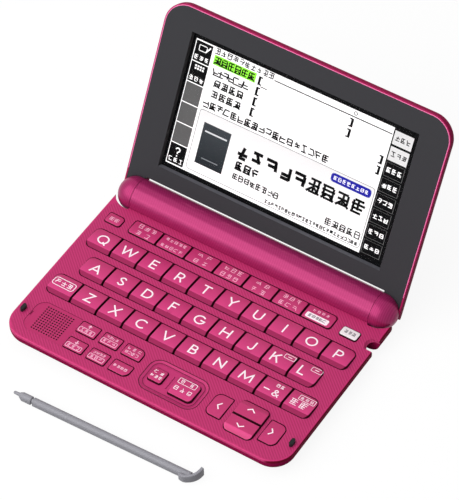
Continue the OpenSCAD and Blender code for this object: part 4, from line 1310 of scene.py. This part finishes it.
# the picture's parts in the order of drawing: kind, place, colour and layer. Places are millimetres
# along the hinge and up the lid:
# field: left, right, lower and upper edge; a second colour at the end is that of its lower edge
# signs: left, right, middle, size, stroke width, how many, share of them with more bars
# frame: left, right, lower and upper edge, corner radius, stroke width
# ring: middle, radius, number of sides, stroke width
pageBack = [
    ("field", (-61.8, 61.8, 14.2, 88.8), black, 0),
    ("field", (-57.0, 57.0, 19.9, 82.7), white, 1),
]
pageList = [
    # title row, the chosen row on green and the rows under it
    ("signs", (-46.6, -15.4, 80.9, 3.0, 0.44, 10, 0.6), black, 4),
    ("field", (-15.0, 46.0, 79.1, 79.6), "#202022", 3),
    ("field", (-46.2, -24.0, 74.2, 78.9), "#8FEF3F", 2),
    ("signs", (-46.0, -24.3, 76.5, 3.9, 0.58, 6, 0.9), black, 4),
    ("signs", (-45.6, -26, 71.1, 3.7, 0.64, 7, 0.1), black, 4),
    ("signs", (-43.4, -27.6, 66.0, 3.7, 0.64, 4, 1), black, 4),
    ("signs", (-43.4, -27.6, 60.7, 3.7, 0.64, 4, 1), black, 4),
    ("signs", (-46.4, 20.4, 54.9, 3.7, 0.64, 18, 0.5), black, 4),
]
# upper ends of the entry brackets, by where they stand; those at the left open to the right
brackets = {-22.6: (78.2, 73.0, 67.8, 62.6), 26.8: (78.2, 73.0), 45.0: (67.8, 62.6)}
# a bracket's upright and two arms: reach sideways, lower and upper end from the bracket's place, layer
bracketParts = ((1.2, -4.1, 0.1, 3), (2.0, -0.6, 0.1, 4), (2.0, -4.1, -3.4, 4))
banner = [
    # cursor and ring, then the banner with a plain dark book, bold made-up signs and a badge
    ("field", (-20.8, -17.4, 73.5, 73.9), black, 4),
    ("ring", (26.8, 81.1, 0.8, 14, 0.3), black, 4),
    ("field", (-46.6, 45.8, 21.4, 52.0), "#E2E2E2", 2, "#FFFFFF"),
    ("frame", (-46.4, 45.6, 21.6, 51.8, 1.6, 0.35), "#9A9A9A", 3),
    ("field", (-42.9, -28.4, 25.9, 46.4), "#3A3F43", 3, "#22262A"),
    ("field", (-41.5, -29.8, 42.0, 42.8), "#C9CCCE", 4),
    ("field", (-40.0, -31.3, 29.0, 29.5), "#7B8084", 4),
    ("signs", (-23.8, 12.8, 40.3, 6.6, 1.6, 5, 0.0), black, 4),
    ("signs", (13.2, 43.4, 40.3, 7.2, 1.15, 4, 1.0), black, 4),
    ("signs", (-23.0, -10.0, 33.4, 4.1, 0.85, 3, 0.7), black, 4),
    ("signs", (-23.0, 1.8, 27.9, 3.0, 0.55, 8), black, 4),
    ("signs", (26.2, 45.0, 27.3, 3.6, 0.5, 5, 1.0), black, 4),
    ("signs", (-4.5, 44.6, 23.2, 1.7, 0.42, 27, 0.3), black, 4),
    ("field", (24.0, 43.8, 46.7, 50.1), "#22229E", 3),
    ("frame", (24.0, 43.8, 46.7, 50.1, 0.9, 0.9), "#22229E", 3.5),
    ("signs", (24.8, 43.0, 48.4, 2.0, 0.28, 8), white, 4),
    # black surround of the right strip
    ("field", (46.3, 57.2, 19.7, 83.0), black, 2),
]
picture = {"verts": [], "colours": []}


def addQuads(corners, colours, layer):
    # flat quads on a layer of the picture, four corners each, with a colour for each corner
    x, u = np.reshape(corners, (-1, 2)).T
    picture["verts"].append(onLid(x, u, screen["level"] + layer * screen["layer"]))
    picture["colours"] += colours


def field(x0, x1, u0, u1, colour, layer, lower=None):
    # one coloured rectangle of the picture, drawn to a second colour at its lower edge if given
    addQuads([(x0, u0), (x1, u0), (x1, u1), (x0, u1)], [lower or colour] * 2 + [colour] * 2, layer)


def inkStrokes(jobs, colour, layer):
    # strokes on the picture, as flat quads side by side along each path
    for points, width in jobs:
        p = np.asarray(points, float)
        a, b = p[:-1], p[1:]
        d = (b - a) / np.maximum(np.linalg.norm(b - a, axis=1), 1e-9)[:, None]
        s = np.stack([-d[:, 1], d[:, 0]], axis=-1) * width / 2
        addQuads(np.stack([a - s, b - s, b + s, a + s], axis=1), [colour] * 4 * len(a), layer)


def drawParts(parts):
    for kind, place, *paint in parts:
        if kind == "field":
            field(*place, *paint)
        elif kind == "signs":
            inkStrokes(marks(*place), *paint)
        elif kind == "ring":
            x, u, radius, sides, width = place
            inkStrokes([(arc(x, u, radius, radius, 0, 360, sides), width)], *paint)
        else:
            *box, radius, width = place
            inkStrokes([(roundedBox(*box, radius), width)], *paint)


def drawBracket(x, top):
    side = 1 if x < 0 else -1
    for arm, start, end, layer in bracketParts:
        field(min(x, x + side * arm), max(x, x + side * arm), top + start, top + end, black, layer)


def drawLeftStrip():
    # six touch fields: a pen, a keyboard, three idle ones and a question mark, with signs under each picture
    left, right = screen["left"]
    edges = np.linspace(*screen["stripEnds"], 7)
    for i, (top, low) in enumerate(zip(edges[:-1], edges[1:])):
        idle = i in (2, 3, 4)
        field(left, right, low + 0.25, top - 0.25, screen["idle"] if idle else black, 2)
        if idle:
            continue
        if i == 0:
            start, end, width = screen["pen"]
            drawParts([("frame", np.add(screen["tablet"], (0, 0, top, top, 0, 0)), white, 4)])
            inkStrokes([(line(start, end) + (0, top), width)], white, 4)
        elif i == 1:
            k = screen["keyboard"]
            for j in range(k["rows"] * k["columns"]):
                x = k["place"][0] + k["pitch"] * (j % k["columns"])
                u = top + k["place"][1] - k["pitch"] * (j // k["columns"])
                field(x, x + k["key"], u, u + k["key"], white, 4)
        else:
            middle, foot, height = screen["question"]
            inkStrokes(glyph("?", middle, top + foot, height), white, 4)
        drawParts([("signs", (left + 0.4, right - 0.5, low + 2.3, 2.2, 0.36, 3), white, 4)])


def drawRightStrip():
    # eight touch fields, the upper two light
    left, right = screen["right"]
    edges = np.linspace(*screen["stripEnds"], 9)
    for i, (top, low) in enumerate(zip(edges[:-1], edges[1:])):
        light = i < 2
        field(left, right, low + 0.5, top - 0.55, screen["light" if light else "edge"], 3)
        if not light:
            field(left + 0.2, right - 0.2, low + 0.65, top - 0.65, black, 3.5)
        ink = black if light else white
        drawParts([("signs", (left + 0.8, right - 0.8, (top + low) / 2, 2.4, 0.42, 3), ink, 4)])


def makePicture():
    drawParts(pageBack)
    drawLeftStrip()
    drawParts(pageList)
    for x, tops in brackets.items():
        for top in tops:
            drawBracket(x, top)
    drawParts(banner)
    drawRightStrip()
    verts = np.concatenate(picture["verts"])
    obj = meshObject("display_picture", verts, np.arange(len(verts)).reshape(-1, 4).tolist())
    layer = obj.data.attributes.new("picture", "FLOAT_COLOR", "CORNER")
    layer.data.foreach_set("color", np.array([linear(c) for c in picture["colours"]], np.float32).ravel())
    addPiece(obj, "lid", "display", display)


makePicture()
print("display picture made")
